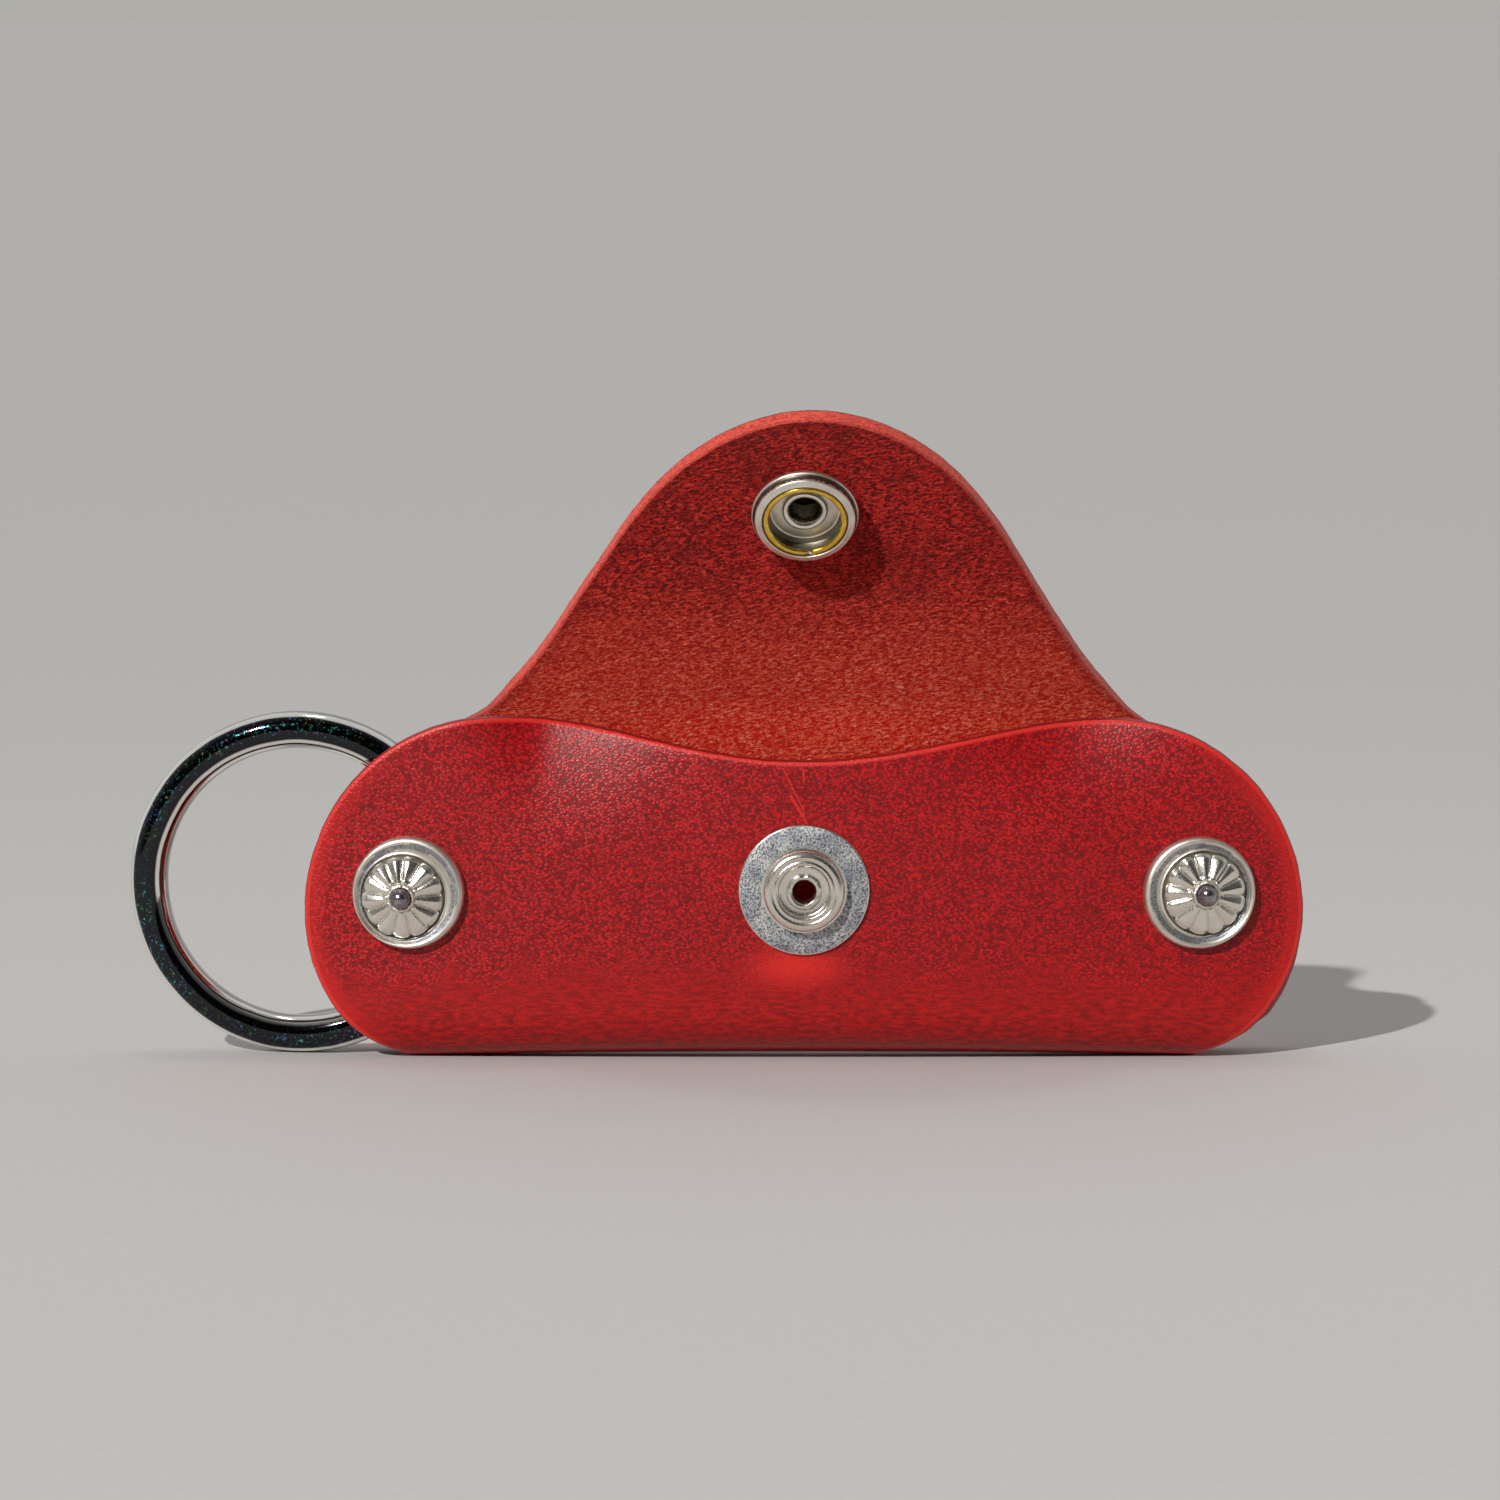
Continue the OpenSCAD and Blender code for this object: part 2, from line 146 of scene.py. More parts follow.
def side_outline(side):
    """Half of the sheet's outline, from the front's middle round to the flap's tip, as (distance out, p)."""
    lift = LEFT_LIFT if side < 0 else 0.0
    top = SHOULDER_Z + lift
    shoulder_x = HALF_W - UPPER_W
    pts = []
    for i in range(61):
        x = shoulder_x * i / 60
        pts.append((x, front_p(top - (DIP + lift) * (1 + math.cos(math.pi * x / shoulder_x)) / 2)))
    for i in range(1, 49):
        a = math.pi / 2 * (1 - i / 48)
        pts.append((shoulder_x + UPPER_W * math.cos(a), front_p(END_Z + (top - END_Z) * math.sin(a))))
    for i in range(1, 25):
        z = END_Z + (FOLD_Z - END_Z) * i / 24
        pts.append((lower_half_width(z), front_p(z)))
    for i in range(1, 32):
        phi = math.pi * i / 32
        z = max(0.2, FOLD_Z - OUTER_R * math.sin(phi))
        pts.append((lower_half_width(z), MID_R * (phi - math.pi / 2)))
    for i in range(25):
        z = FOLD_Z + (END_Z - FOLD_Z) * i / 24
        pts.append((lower_half_width(z), back_p(z)))
    top -= BACK_DROP
    for i in range(1, 49):
        a = BACK_FLARE * i / 48
        pts.append((shoulder_x + UPPER_W * math.cos(a), back_p(END_Z + (top - END_Z) * math.sin(a))))
    root = CREASE_W + side * ROOT_SHIFT
    x0, z0 = pts[-1][0], pts[-1][1] - P_FOLD + FOLD_Z
    corner = bezier((x0, z0), (x0 - FLARE[0], z0 + FLARE[1] / 3),
                    (root + FLARE[0] / 2, CREASE_Z - FLARE[1] / 2), (root, CREASE_Z), 14)
    pts += [(x, back_p(z)) for x, z in corner[1:]]
    waist = (TIP_W, FLAP_LEN - TIP_LEN)
    flap = bezier((CREASE_W, 0), (CREASE_W - SIDE_LOWER[0], SIDE_LOWER[1]),
                  (waist[0] + SIDE_UPPER[0], waist[1] - SIDE_UPPER[1]), waist, 60)[1:]
    flap += bezier(waist, (waist[0] - TIP_FLANK[0], waist[1] + TIP_FLANK[1]), (TIP_FLAT, FLAP_LEN),
                   (0, FLAP_LEN), 48)[1:]
    for x, s in flap:
        shift = ROOT_SHIFT + (TIP_SHIFT - ROOT_SHIFT) * s / FLAP_LEN
        pts.append((x + side * shift, P_CREASE + s))
    return pts


def full_outline():
    """The closed outline, right side from the front's middle to the tip and back down the left side."""
    right = side_outline(1)
    left = [(-x, p) for x, p in side_outline(-1)]
    loop = right[:-1] + [(TIP_SHIFT, P_CREASE + FLAP_LEN)] + left[-2:0:-1]
    out = [loop[0]]
    for q in loop[1:]:
        if math.dist(q, out[-1]) > 0.05:
            out.append(q)
    return out


def cut_in_two(loop, step, seam_p):
    """The closed loop cut where p is seam_p, as two arcs of points at even steps."""
    pts, cuts = [], []
    for a, b in zip(loop, loop[1:] + loop[:1]):
        pts.append(a)
        if (a[1] - seam_p) * (b[1] - seam_p) < 0:
            t = (seam_p - a[1]) / (b[1] - a[1])
            cuts.append(len(pts))
            pts.append((a[0] + t * (b[0] - a[0]), seam_p))
    first, second = cuts
    arcs = []
    for arc in (pts[first:second + 1], pts[second:] + pts[:first + 1]):
        d = [0.0]
        for a, b in zip(arc, arc[1:]):
            d.append(d[-1] + math.dist(a, b))
        even = np.linspace(0, d[-1], max(2, round(d[-1] / step)) + 1)
        xs = np.interp(even, d, [q[0] for q in arc])
        ps = np.interp(even, d, [q[1] for q in arc])
        arcs.append([(float(x), float(p)) for x, p in zip(xs, ps)])
    return arcs


def bend_path():
    """s, y and z of the leather's middle, from below the bend to above it."""
    n = 120
    step = 2 * BEND_HALF / n
    ss, ys, zs = [-BEND_HALF], [MID_R], [CREASE_Z - BEND_HALF]
    for i in range(n):
        s = -BEND_HALF + 2 * BEND_HALF * (i + 0.5) / n
        a = LEAN * smooth((s + BEND_HALF) / (2 * BEND_HALF))
        ss.append(s + step / 2)
        ys.append(ys[-1] - math.sin(a) * step)
        zs.append(zs[-1] + math.cos(a) * step)
    # the small miss at its upper end is spread over the whole bend
    dy = MID_R - BEND_HALF * math.sin(LEAN) - ys[-1]
    dz = CREASE_Z + BEND_HALF * math.cos(LEAN) - zs[-1]
    for i in range(n + 1):
        ys[i] += dy * smooth(i / n)
        zs[i] += dz * smooth(i / n)
    return ss, ys, zs


BEND_S, BEND_Y, BEND_Z = bend_path()


def top_sag(x, z):
    rise = max(0.0, (z - SAG_Z) / SAG_TALL) ** SAG_POWER
    return rise * sum(deep * math.exp(-(((x - middle) / (left if x < middle else right)) ** 2))
                      for middle, deep, left, right in SAGS)


def dents(x, p):
    """Slow unevenness of the leather, none of it under the hardware."""
    amount = 0.16 * wobble(x, p, 0, 17, 1) + 0.07 * wobble(x, p, 0, 7.5, 2)
    for seat_x, seat_p, r in SEATS:
        amount *= smooth((math.hypot(x - seat_x, p - seat_p) - r) / SEAT_FADE)
    return amount


def place(x, p, o):
    """A point of the sheet in the shared frame, in metres."""
    s = p - P_CREASE
    bump = dents(x, p)
    # f is how far the leather's middle lies in front of the pocket's, and (nf, nz) points to its grain side
    if p < -P_FOLD:
        f, z, nf, nz = MID_R, FOLD_Z + (-p - P_FOLD), 1.0, 0.0
        bump -= top_sag(x, z)
    elif p <= P_FOLD:
        phi = math.pi / 2 + p / MID_R
        f, z = MID_R * math.cos(phi), FOLD_Z - MID_R * math.sin(phi)
        nf, nz = math.cos(phi), -math.sin(phi)
        bump *= 0.5
    else:
        f, z, nf, nz = -MID_R, FOLD_Z + p - P_FOLD, -1.0, 0.0
    low = smooth(1 - (z - 1) / ARCH_TALL)
    spread = smooth(1 - (z - 3) / SPREAD_TALL) if s < 0 else 0.0
    x += spread * smooth((x - SPREAD_FROM_X) / 10) * (-SPREAD * o)
    if s <= -BEND_HALF:
        f += nf * (o + bump)
        arch = ARCH * (1 - min(1.0, (x / ARCH_HALF_W) ** 2)) * low * smooth((f + 3.2) / 5)
        z = max(0.0, z + nz * (o + bump * 0.4) + arch)
        r = BEND_R + f
        return Vector((x, BEND_R - math.sqrt(max(1.0, r * r - x * x)), z)) * MM
    if s < BEND_HALF:
        y = np.interp(s, BEND_S, BEND_Y)
        z = np.interp(s, BEND_S, BEND_Z)
        a = LEAN * smooth((s + BEND_HALF) / (2 * BEND_HALF))
    else:
        y, z, a = MID_R - s * math.sin(LEAN), CREASE_Z + s * math.cos(LEAN), LEAN
    bow = BEND_R - math.sqrt(BEND_R * BEND_R - x * x)
    y += bow * (1 - smooth((s + 1) / (BRIDGE + 3)))
    o += bump
    return Vector((x, y + math.cos(a) * o, z + math.sin(a) * o)) * MM


# ---------------------------------------------------------------- meshes
def add_object(name, data):
    obj = bpy.data.objects.new(name, data)
    bpy.context.scene.collection.objects.link(obj)
    return obj


def new_object(name, verts, faces):
    mesh = bpy.data.meshes.new(name)
    mesh.from_pydata(verts, [], faces)
    mesh.update()
    mesh.polygons.foreach_set("use_smooth", [True] * len(faces))
    return add_object(name, mesh)


def face_outward(mesh, cap_from=None):
    """Turns each face outward. Edges round the faces from number cap_from on become sharp."""
    bm = bmesh.new()
    bm.from_mesh(mesh)
    if cap_from is not None:
        for edge in bm.edges:
            in_cap = [face.index >= cap_from for face in edge.link_faces]
            if len(in_cap) == 2 and in_cap[0] != in_cap[1]:
                edge.smooth = False
    bmesh.ops.recalc_face_normals(bm, faces=bm.faces)
    bm.to_mesh(mesh)
    bm.free()


# The rings of points round the leather's cut edge, from the grain face to the flesh face: how far each lies
# inside the outline, and its o. Two of them, on the cut itself, are rougher.
EDGE = ((0.46, 1.0), (0.22, 0.955), (0.07, 0.83), (0.0, 0.62), (0.02, 0.2), (0.02, -0.25), (0.0, -0.66),
        (0.06, -0.86), (0.2, -0.97), (0.42, -1.0))
ROUGH_RINGS = (4, 5)
GRAIN, FLESH, CUT = 0, 1, 2
OUTLINE_STEP, SEAM_STEP, GRID_STEP = 0.55, 0.8, 0.85
ROW_STEP = GRID_STEP * 0.87
BORDER_GAP, HOLE_GAP = 0.42, 0.3


def to_border(points, border):
    """How far each point is from the border's nearest point."""
    border = np.array(border)
    return np.concatenate([np.hypot(points[i:i + 2000, None, 0] - border[None, :, 0],
                                    points[i:i + 2000, None, 1] - border[None, :, 1]).min(1)
                           for i in range(0, len(points), 2000)])


def grid_inside(border, hole):
    """Points in shifted rows inside the border, a little away from it and from the hole."""
    px, py = np.array(border).T
    qx, qy = np.roll(px, -1), np.roll(py, -1)
    grid, row = [], 0
    y = py.min() + GRID_STEP
    while y < py.max():
        on = (py > y) != (qy > y)
        xs = np.sort(px[on] + (y - py[on]) * (qx[on] - px[on]) / (qy[on] - py[on]))
        for x0, x1 in zip(xs[::2], xs[1::2]):
            x = x0 + 0.5 + (0.5 * GRID_STEP if row % 2 else 0)
            while x < x1 - 0.45:
                grid.append((x, y))
                x += GRID_STEP
        y += ROW_STEP
        row += 1
    grid = np.array(grid)
    hx, hp, hr = hole
    return grid[(to_border(grid, border) > BORDER_GAP)
                & (np.hypot(grid[:, 0] - hx, grid[:, 1] - hp) > hr + HOLE_GAP)]


def leather_mesh(name, arc, hole):
    """A closed solid of the sheet inside one arc of the outline, with a flat cap along the seam.
    hole is x, p and radius of a punched hole."""
    hx, hp, hr = hole
    punched = [(hx + hr * math.cos(math.pi * i / 14), hp + hr * math.sin(math.pi * i / 14))
               for i in range(28)]
    n, nh = len(arc), len(punched)
    pts = np.array(arc)
    tangent = np.roll(pts, -1, axis=0) - np.roll(pts, 1, axis=0)
    tangent /= np.linalg.norm(tangent, axis=1)[:, None]
    normal = np.stack([tangent[:, 1], -tangent[:, 0]], axis=1)
    # at the seam's two ends the edge rings stay on the seam line
    for i in (0, -1):
        normal[i] = (math.copysign(1, pts[i][0]), 0)
    uneven = [0.05 * wobble(x, p, 0, 2.2, 5) + 0.045 * wobble(x, p, 0, 0.8, 6) for x, p in arc]
    uneven[0] = uneven[-1] = 0.0
    seam_count = max(2, round(abs(arc[0][0] - arc[-1][0]) / SEAM_STEP))
    verts, sheet, faces, mats = [], [], [], []

    def add_point(x, p, o):
        verts.append(place(x, p, o))
        sheet.append((x, p, o))
        return len(verts) - 1

    def add_face(ids, mat):
        faces.append(ids)
        mats.append(mat)

    rings, seams, holes = [], [], []
    for k, (inset, o) in enumerate(EDGE):
        fray = 0.05 if k in ROUGH_RINGS else 0.0
        ring = [(pts[i][0] - normal[i][0] * (inset + uneven[i] + fray * wobble(*pts[i], k, 0.5, 9)),
                 pts[i][1] - normal[i][1] * (inset + uneven[i])) for i in range(n)]
        if 0 < k < len(EDGE) - 1:
            rings.append([add_point(x, p, o) for x, p in ring])
            continue
        # the grain face or the flesh face, inside its ring and the seam
        (ax, ap), bx = ring[-1], ring[0][0]
        border = ring + [(ax + (bx - ax) * i / seam_count, ap) for i in range(1, seam_count)]
        nb = len(border)
        edges = [(i, (i + 1) % nb) for i in range(nb)] + [(nb + i, nb + (i + 1) % nh) for i in range(nh)]
        given = [Vector(q) for q in border + punched + list(grid_inside(border, hole))]
        found, _, triangles, origins = delaunay_2d_cdt(given, edges, [], 1, 1e-6)[:4]
        ids = [add_point(v[0], v[1], o) for v in found]
        now = {old: ids[new] for new, olds in enumerate(origins) for old in olds}
        for tri in triangles:
            middle = sum((found[i] for i in tri), Vector((0, 0))) / len(tri)
            if math.hypot(middle.x - hx, middle.y - hp) > hr * 0.97:
                a, b, c = (found[i] for i in tri[:3])
                up = (b - a).cross(c - a) > 0
                tri = [ids[i] for i in tri]
                add_face(tri if up == (k == 0) else tri[::-1], GRAIN if k == 0 else FLESH)
        rings.append([now[i] for i in range(n)])
        seams.append([now[i] for i in range(n, nb)])
        holes.append([now[i] for i in range(nb, nb + nh)])
    for k, (upper, lower) in enumerate(zip(rings, rings[1:])):
        mat = GRAIN if k < 2 else FLESH if k == len(rings) - 2 else CUT
        for i in range(n - 1):
            add_face([upper[i], upper[i + 1], lower[i + 1], lower[i]], mat)
    top, bottom = holes
    for i in range(nh):
        j = (i + 1) % nh
        add_face([top[i], bottom[i], bottom[j], top[j]], CUT)
    cap_from = len(faces)
    top, bottom = seams
    add_face([ring[-1] for ring in rings] + [bottom[0], top[0]], CUT)
    for i in range(seam_count - 2):
        add_face([top[i], bottom[i], bottom[i + 1], top[i + 1]], CUT)
    add_face([top[-1], bottom[-1]] + [ring[0] for ring in rings][::-1], CUT)

    obj = new_object(name, verts, faces)
    mesh = obj.data
    mesh.polygons.foreach_set("material_index", mats)
    face_outward(mesh, cap_from)
    rim = to_border(np.array(sheet)[:, :2], arc)
    mesh.attributes.new("rim", "FLOAT", "POINT").data.foreach_set("value", rim.astype(np.float32))
    flat = np.array(sheet, np.float32)
    mesh.attributes.new("sheet", "FLOAT_VECTOR", "POINT").data.foreach_set("vector", flat.ravel())
    corner = np.zeros(len(mesh.loops), np.int32)
    mesh.loops.foreach_get("vertex_index", corner)
    uvs = np.stack([(flat[:, 0] + 60) / 140, (flat[:, 1] + 50) / 140], axis=1)
    mesh.uv_layers.new(name="UVMap").data.foreach_set("uv", uvs[corner].ravel())
    return obj


# the lower arc goes round the case and the upper one over the flap's tip
lower_arc, upper_arc = sorted(cut_in_two(full_outline(), OUTLINE_STEP, P_CREASE + SEAM_S),
                              key=lambda arc: max(p for x, p in arc))
leather_lower = leather_mesh("leather_body", lower_arc, (0, STUD_P, 1.62))
leather_upper = leather_mesh("leather_flap_piece", upper_arc, (0, SOCKET_P, 1.95))


# ---------------------------------------------------------------- metal pieces, in frames on their own axes
def sweep(name, rows, matrix, closed=True, caps=False):
    """A surface over rows of points in matrix's frame, each a closed loop or one point on the axis. The last
    row joins the first, or with closed off the two end rows stay open or are capped."""
    count = max(len(row) for row in rows)
    verts, ids, faces = [], [], []
    for row in rows:
        first = len(verts)
        verts += [matrix @ Vector(q) * MM for q in row]
        ids.append([first] * count if len(row) == 1 else list(range(first, first + count)))
    for a, b in zip(ids, ids[1:] + ids[:1] if closed else ids[1:]):
        for j in range(count):
            j2 = (j + 1) % count
            face = [a[j], a[j2], b[j2], b[j]]
            face = [face[i] for i in range(4) if face[i] != face[i - 1]]
            if len(face) >= 3:
                faces.append(face)
    if caps:
        faces += [ids[0][::-1], ids[-1]]
    obj = new_object(name, verts, faces)
    face_outward(obj.data)
    return obj


def lathe(name, profile, matrix, segments=96, closed=True, warp=None, shift=None):
    """A turned piece from its profile of (r, h). warp(r, h, angle) gives an uneven (r, h), and shift(r, h)
    moves a whole row off the axis."""
    rows = []
    for r, h in profile:
        dx, dy = shift(r, h) if shift else (0, 0)
        if r < 1e-6:
            rows.append([(dx, dy, h)])
            continue
        row = []
        for j in range(segments):
            a = 2 * math.pi * j / segments
            rr, hh = warp(r, h, a) if warp else (r, h)
            row.append((rr * math.cos(a) + dx, rr * math.sin(a) + dy, hh))
        rows.append(row)
    return sweep(name, rows, matrix, closed)


def wire_row(a, mid, h, widths, lift=0.0):
    """The section at angle a of a wire bent round the axis, with the wire's radius for each of its sides."""
    row = []
    for j, w in enumerate(widths):
        b = 2 * math.pi * j / len(widths)
        r = mid + w * math.cos(b) - lift
        row.append((r * math.cos(a), r * math.sin(a), h + w * math.sin(b) + lift))
    return row


def arc_pts(cx, cy, r, a0, a1, n):
    return [(cx + r * math.cos(math.radians(a0 + (a1 - a0) * i / n)),
             cy + r * math.sin(math.radians(a0 + (a1 - a0) * i / n))) for i in range(n + 1)]


def rounded(profile, radius, steps=5):
    """A closed profile with all its corners rounded."""
    out = []
    for i in range(len(profile)):
        corner = Vector(profile[i])
        u, v = Vector(profile[i - 1]) - corner, Vector(profile[(i + 1) % len(profile)]) - corner
        reach = 0.45 * min(u.length, v.length)
        u.normalize()
        v.normalize()
        cut = min(radius / math.tan(math.acos(u.dot(v)) / 2), reach)
        p0, p1 = corner + u * cut, corner + v * cut
        for k in range(steps + 1):
            t = k / steps
            out.append(tuple(p0 * (1 - t) ** 2 + corner * 2 * t * (1 - t) + p1 * t * t))
    return out


def post_frame(side):
    """Frame on a screw post's axis in the pocket's middle, its z towards the camera's side."""
    a = side * POST_ANGLE
    origin = Vector((BEND_R * math.sin(a), BEND_R - BEND_R * math.cos(a), POST_Z))
    z = Vector((math.sin(a), -math.cos(a), 0))
    x = Vector((math.cos(a), math.sin(a), 0))
    return Matrix.Translation(origin) @ Matrix((x, Vector((0, 0, 1)), z)).transposed().to_4x4()


def cup_frame(side):
    return post_frame(side) @ Matrix.Translation((0, 0, OUTER_R))


STUD = Matrix.Translation((0, -OUTER_R, STUD_Z)) @ Matrix.Rotation(math.pi / 2, 4, "X")
FLAP = Matrix.Translation((0, MID_R, CREASE_Z)) @ Matrix.Rotation(math.pi / 2 + LEAN, 4, "X")
SOCKET = FLAP @ Matrix.Translation((0, SOCKET_S, LEATHER_T / 2))

# The flower and its ball sit a little off the cup's middle
FLOWER_OFF = {-1: (-0.5, -0.38), 1: (0.45, -0.02)}
FLOWER_H = 0.9
FLOWER_HOLE_R = 0.95
FLOWER_R = 4.05


def make_cup(name, side):
    """A domed washer: steep outside, narrow crown, a slope inwards, and a thin lip round the flower."""
    dx, dy = FLOWER_OFF[side]

    def shift(r, h):
        # all of it inside the lip, none of it at the outer wall or the hole
        k = max(0.0, min(1.0, (5.62 - r) / 1.2)) if r > 2.5 else 0.0
        return dx * k, dy * k
    profile = [(5.58, 0.0), (5.65, 0.1), (5.65, 0.46), (5.61, 0.76), (5.53, 0.97), (5.4, 1.11), (5.24, 1.16),
               (5.08, 1.13), (4.92, 1.04), (4.74, 0.91), (4.58, 0.8), (4.47, 0.75), (4.4, 0.8), (4.34, 0.84),
               (4.27, 0.82), (4.22, 0.74), (4.2, 0.6), (4.1, 0.5), (3.3, 0.5), (3.2, 0.62), (3.15, 0.86),
               (3.0, 0.9), (0.95, 0.9), (0.95, 0.0)]
    return lathe(name, profile, cup_frame(side), 128, shift=shift)


def make_flower(name, side, turn):
    """Thirteen petals, each a pleat of two facets with a groove on each side, round a flat middle."""
    petals, steps = 13, 26
    segments = petals * 20
    angles = [2 * math.pi * j / segments for j in range(segments)]
    rng = np.random.default_rng(11 + side)
    lean = rng.uniform(-0.22, 0.22, petals)
    size = rng.uniform(-0.05, 0.05, petals)

    def petal(a):
        """The petal's number, the place across it from 0 to 1, and how near its sides that is."""
        q = ((a - turn) * petals / (2 * math.pi)) % petals
        u = q % 1.0
        return int(q) % petals, u, abs(2 * u - 1)

    def height(r, a):
        i, u, v = petal(a)
        t = max(0.0, min(1.0, (r - 1.3) / (FLOWER_R - 1.3)))
        dome = 1.2 - 0.62 * t ** 1.5
        # a roof with a rounded ridge, its ridge a little off the petal's middle
        w = abs(2 * u - 1 - lean[i]) / (1 + abs(lean[i]))
        rib = 1 - math.sqrt(w * w + 0.035) / math.sqrt(1.035)
        groove = math.exp(-((1 - v) / 0.13) ** 2)
        grow = smooth(t / 0.22)
        return dome - (1 - rib) * 0.40 * grow * (0.45 + 0.55 * t) - 0.16 * groove * grow \
            - 0.16 * smooth((t - 0.86) / 0.14) - 0.12 * (1 - smooth(t / 0.1))

    def edge(a):
        i, _, v = petal(a)
        return 4.08 + size[i] - 0.3 * v ** 4

    def row(radius, level):
        points = []
        for a in angles:
            r = radius(a)
            points.append((r * math.cos(a), r * math.sin(a), FLOWER_H + level(r, a)))
        return points
    rows = [row(lambda a: FLOWER_HOLE_R + (edge(a) - FLOWER_HOLE_R) * i / (steps - 1), height)
            for i in range(steps)]
    rows.append(row(edge, lambda r, a: 0.05))
    rows.append(row(lambda a: edge(a) * 0.985, lambda r, a: 0.0))
    rows.append(row(lambda a: FLOWER_HOLE_R, lambda r, a: 0.0))
    dx, dy = FLOWER_OFF[side]
    return sweep(name, rows, cup_frame(side) @ Matrix.Translation((dx, dy, 0)))


def make_collar(name, side):
    """A ring of wire round the ball, not quite even."""
    def warp(r, h, a):
        k = 0.02 * math.sin(9 * a + h * 5) + 0.012 * math.sin(17 * a)
        return r + k, h + k
    return lathe(name, arc_pts(1.2, 2.26, 0.2, 0, 360, 16)[:-1], cup_frame(side), 108, warp=warp,
                 shift=lambda r, h: FLOWER_OFF[side])


def make_bead(name, side):
    """The ball, and its screw down into the post."""
    ball_h, ball_r = 2.6, 1.0
    ball = arc_pts(0, ball_h, ball_r, 90, -58, 30)
    ball[0] = (0.0, ball_h + ball_r)
    profile = ball + [(0.88, 0.6), (0.88, -4.8), (0.7, -5.0), (0.0, -5.0)]
    return lathe(name, profile, cup_frame(side), 64, closed=False,
                 shift=lambda r, h: FLOWER_OFF[side] if h > 1.2 else (0, 0))


def make_stud():
    """The snap's male half: thin flange, neck, and bulb with a rolled top."""
    profile = [(1.56, 0.0), (6.5, 0.0)] + arc_pts(6.36, 0.2, 0.19, -60, 80, 6) + \
        [(5.2, 0.36), (4.3, 0.4), (3.92, 0.43), (3.62, 0.47), (3.5, 0.56), (3.46, 0.7), (3.46, 0.88),
         (3.52, 1.0), (3.68, 1.1), (3.9, 1.18), (4.0, 1.3), (4.05, 1.44), (4.0, 1.62), (3.86, 1.79),
         (3.66, 1.92), (3.46, 1.98), (3.3, 1.97), (3.2, 1.91), (3.12, 1.87), (3.04, 1.9), (2.94, 1.96),
         (2.8, 1.97), (2.66, 1.9), (2.56, 1.76), (2.48, 1.65), (2.34, 1.6), (1.9, 1.62), (1.56, 1.6)]
    return lathe("snap_stud_piece", profile, STUD, 128)


def make_eyelet():
    """A tube up through the stud, its lip torn as it was rolled over."""
    rng = np.random.default_rng(7)
    tears = rng.uniform(-1, 1, 24)

    def warp(r, h, a):
        t = (a / (2 * math.pi)) * 24
        i = int(t) % 24
        k = tears[i] * (1 - (t % 1)) + tears[(i + 1) % 24] * (t % 1)
        lip = smooth((h - 1.5) / 0.3) * smooth((r - 1.14) / 0.2)
        big = math.exp(-((math.atan2(math.sin(a - 0.8), math.cos(a - 0.8))) / 0.35) ** 2)
        return r + lip * (0.09 * k + 0.22 * big), h + lip * (0.05 * k - 0.12 * big)
    profile = [(1.15, -2.35), (1.35, -2.45), (4.0, -2.45), (4.0, -2.2), (3.9, -2.1), (1.55, -2.1),
               (1.5, -2.0), (1.5, 1.62), (1.62, 1.6), (1.72, 1.7), (1.66, 1.84), (1.45, 1.92),
               (1.25, 1.86), (1.16, 1.7), (1.15, 1.2)]
    return lathe("snap_eyelet_piece", profile, STUD, 96, warp=warp)


def make_socket():
    """The snap's female half: a bowl with a nearly flat rim over the spring's groove."""
    profile = [(1.95, 0.0), (4.45, 0.0), (4.62, 0.1), (4.94, 0.5), (5.16, 0.86)] + \
        arc_pts(4.99, 1.16, 0.28, -20, 56, 8) + [(5.08, 1.45), (5.02, 1.56), (4.98, 1.7), (4.95, 1.86)] + \
        arc_pts(4.73, 2.02, 0.2, 0, 68, 5) + [(4.6, 2.27), (4.4, 2.36)] + \
        arc_pts(4.33, 2.29, 0.1, 65, 160, 5) + \
        [(4.22, 2.24), (4.26, 2.18), (4.46, 2.06), (4.48, 1.8), (4.25, 1.64), (4.18, 1.5), (4.16, 0.4),
         (3.9, 0.2), (1.95, 0.2)]
    return lathe("snap_socket_piece", profile, SOCKET, 128)


def make_spring():
    """A split ring of round brass wire, its two ends a little apart and uneven."""
    wire, mid, h, sides, steps = 0.29, 3.84, 2.14, 16, 150
    start, gap = math.radians(-83), math.radians(4)
    rows = []
    for i in range(steps + 1):
        t = i / steps
        to_end = min(t, 1 - t) * steps
        w = wire * (1 if to_end > 2 else (0.55, 0.85, 0.97)[int(to_end)])
        rows.append(wire_row(start + gap / 2 + (2 * math.pi - gap) * t, mid, h, [w] * sides,
                             lift=0.05 * math.exp(-((t - 1) * 22) ** 2)))
    return sweep("snap_spring_piece", rows, SOCKET, closed=False, caps=True)


def make_rivet():
    """A hollow rivet through the flap, with a rolled lip inside the socket."""
    def warp(r, h, a):
        lip = smooth((h - 0.34) / 0.2) * smooth((r - 1.6) / 0.5)
        return r + 0.015 * lip * math.sin(3 * a + 1), h + 0.02 * lip * math.sin(2 * a)
    profile = [(1.5, -2.4), (5.6, -2.4), (5.6, -2.05), (5.5, -2.0), (1.9, -2.0), (1.85, -1.9), (1.85, 0.34),
               (2.05, 0.34), (2.18, 0.39), (2.24, 0.5), (2.18, 0.64), (2.02, 0.71), (1.84, 0.68),
               (1.68, 0.56), (1.56, 0.34), (1.5, 0.0)]
    return lathe("snap_rivet_piece", profile, SOCKET, 96, warp=warp)


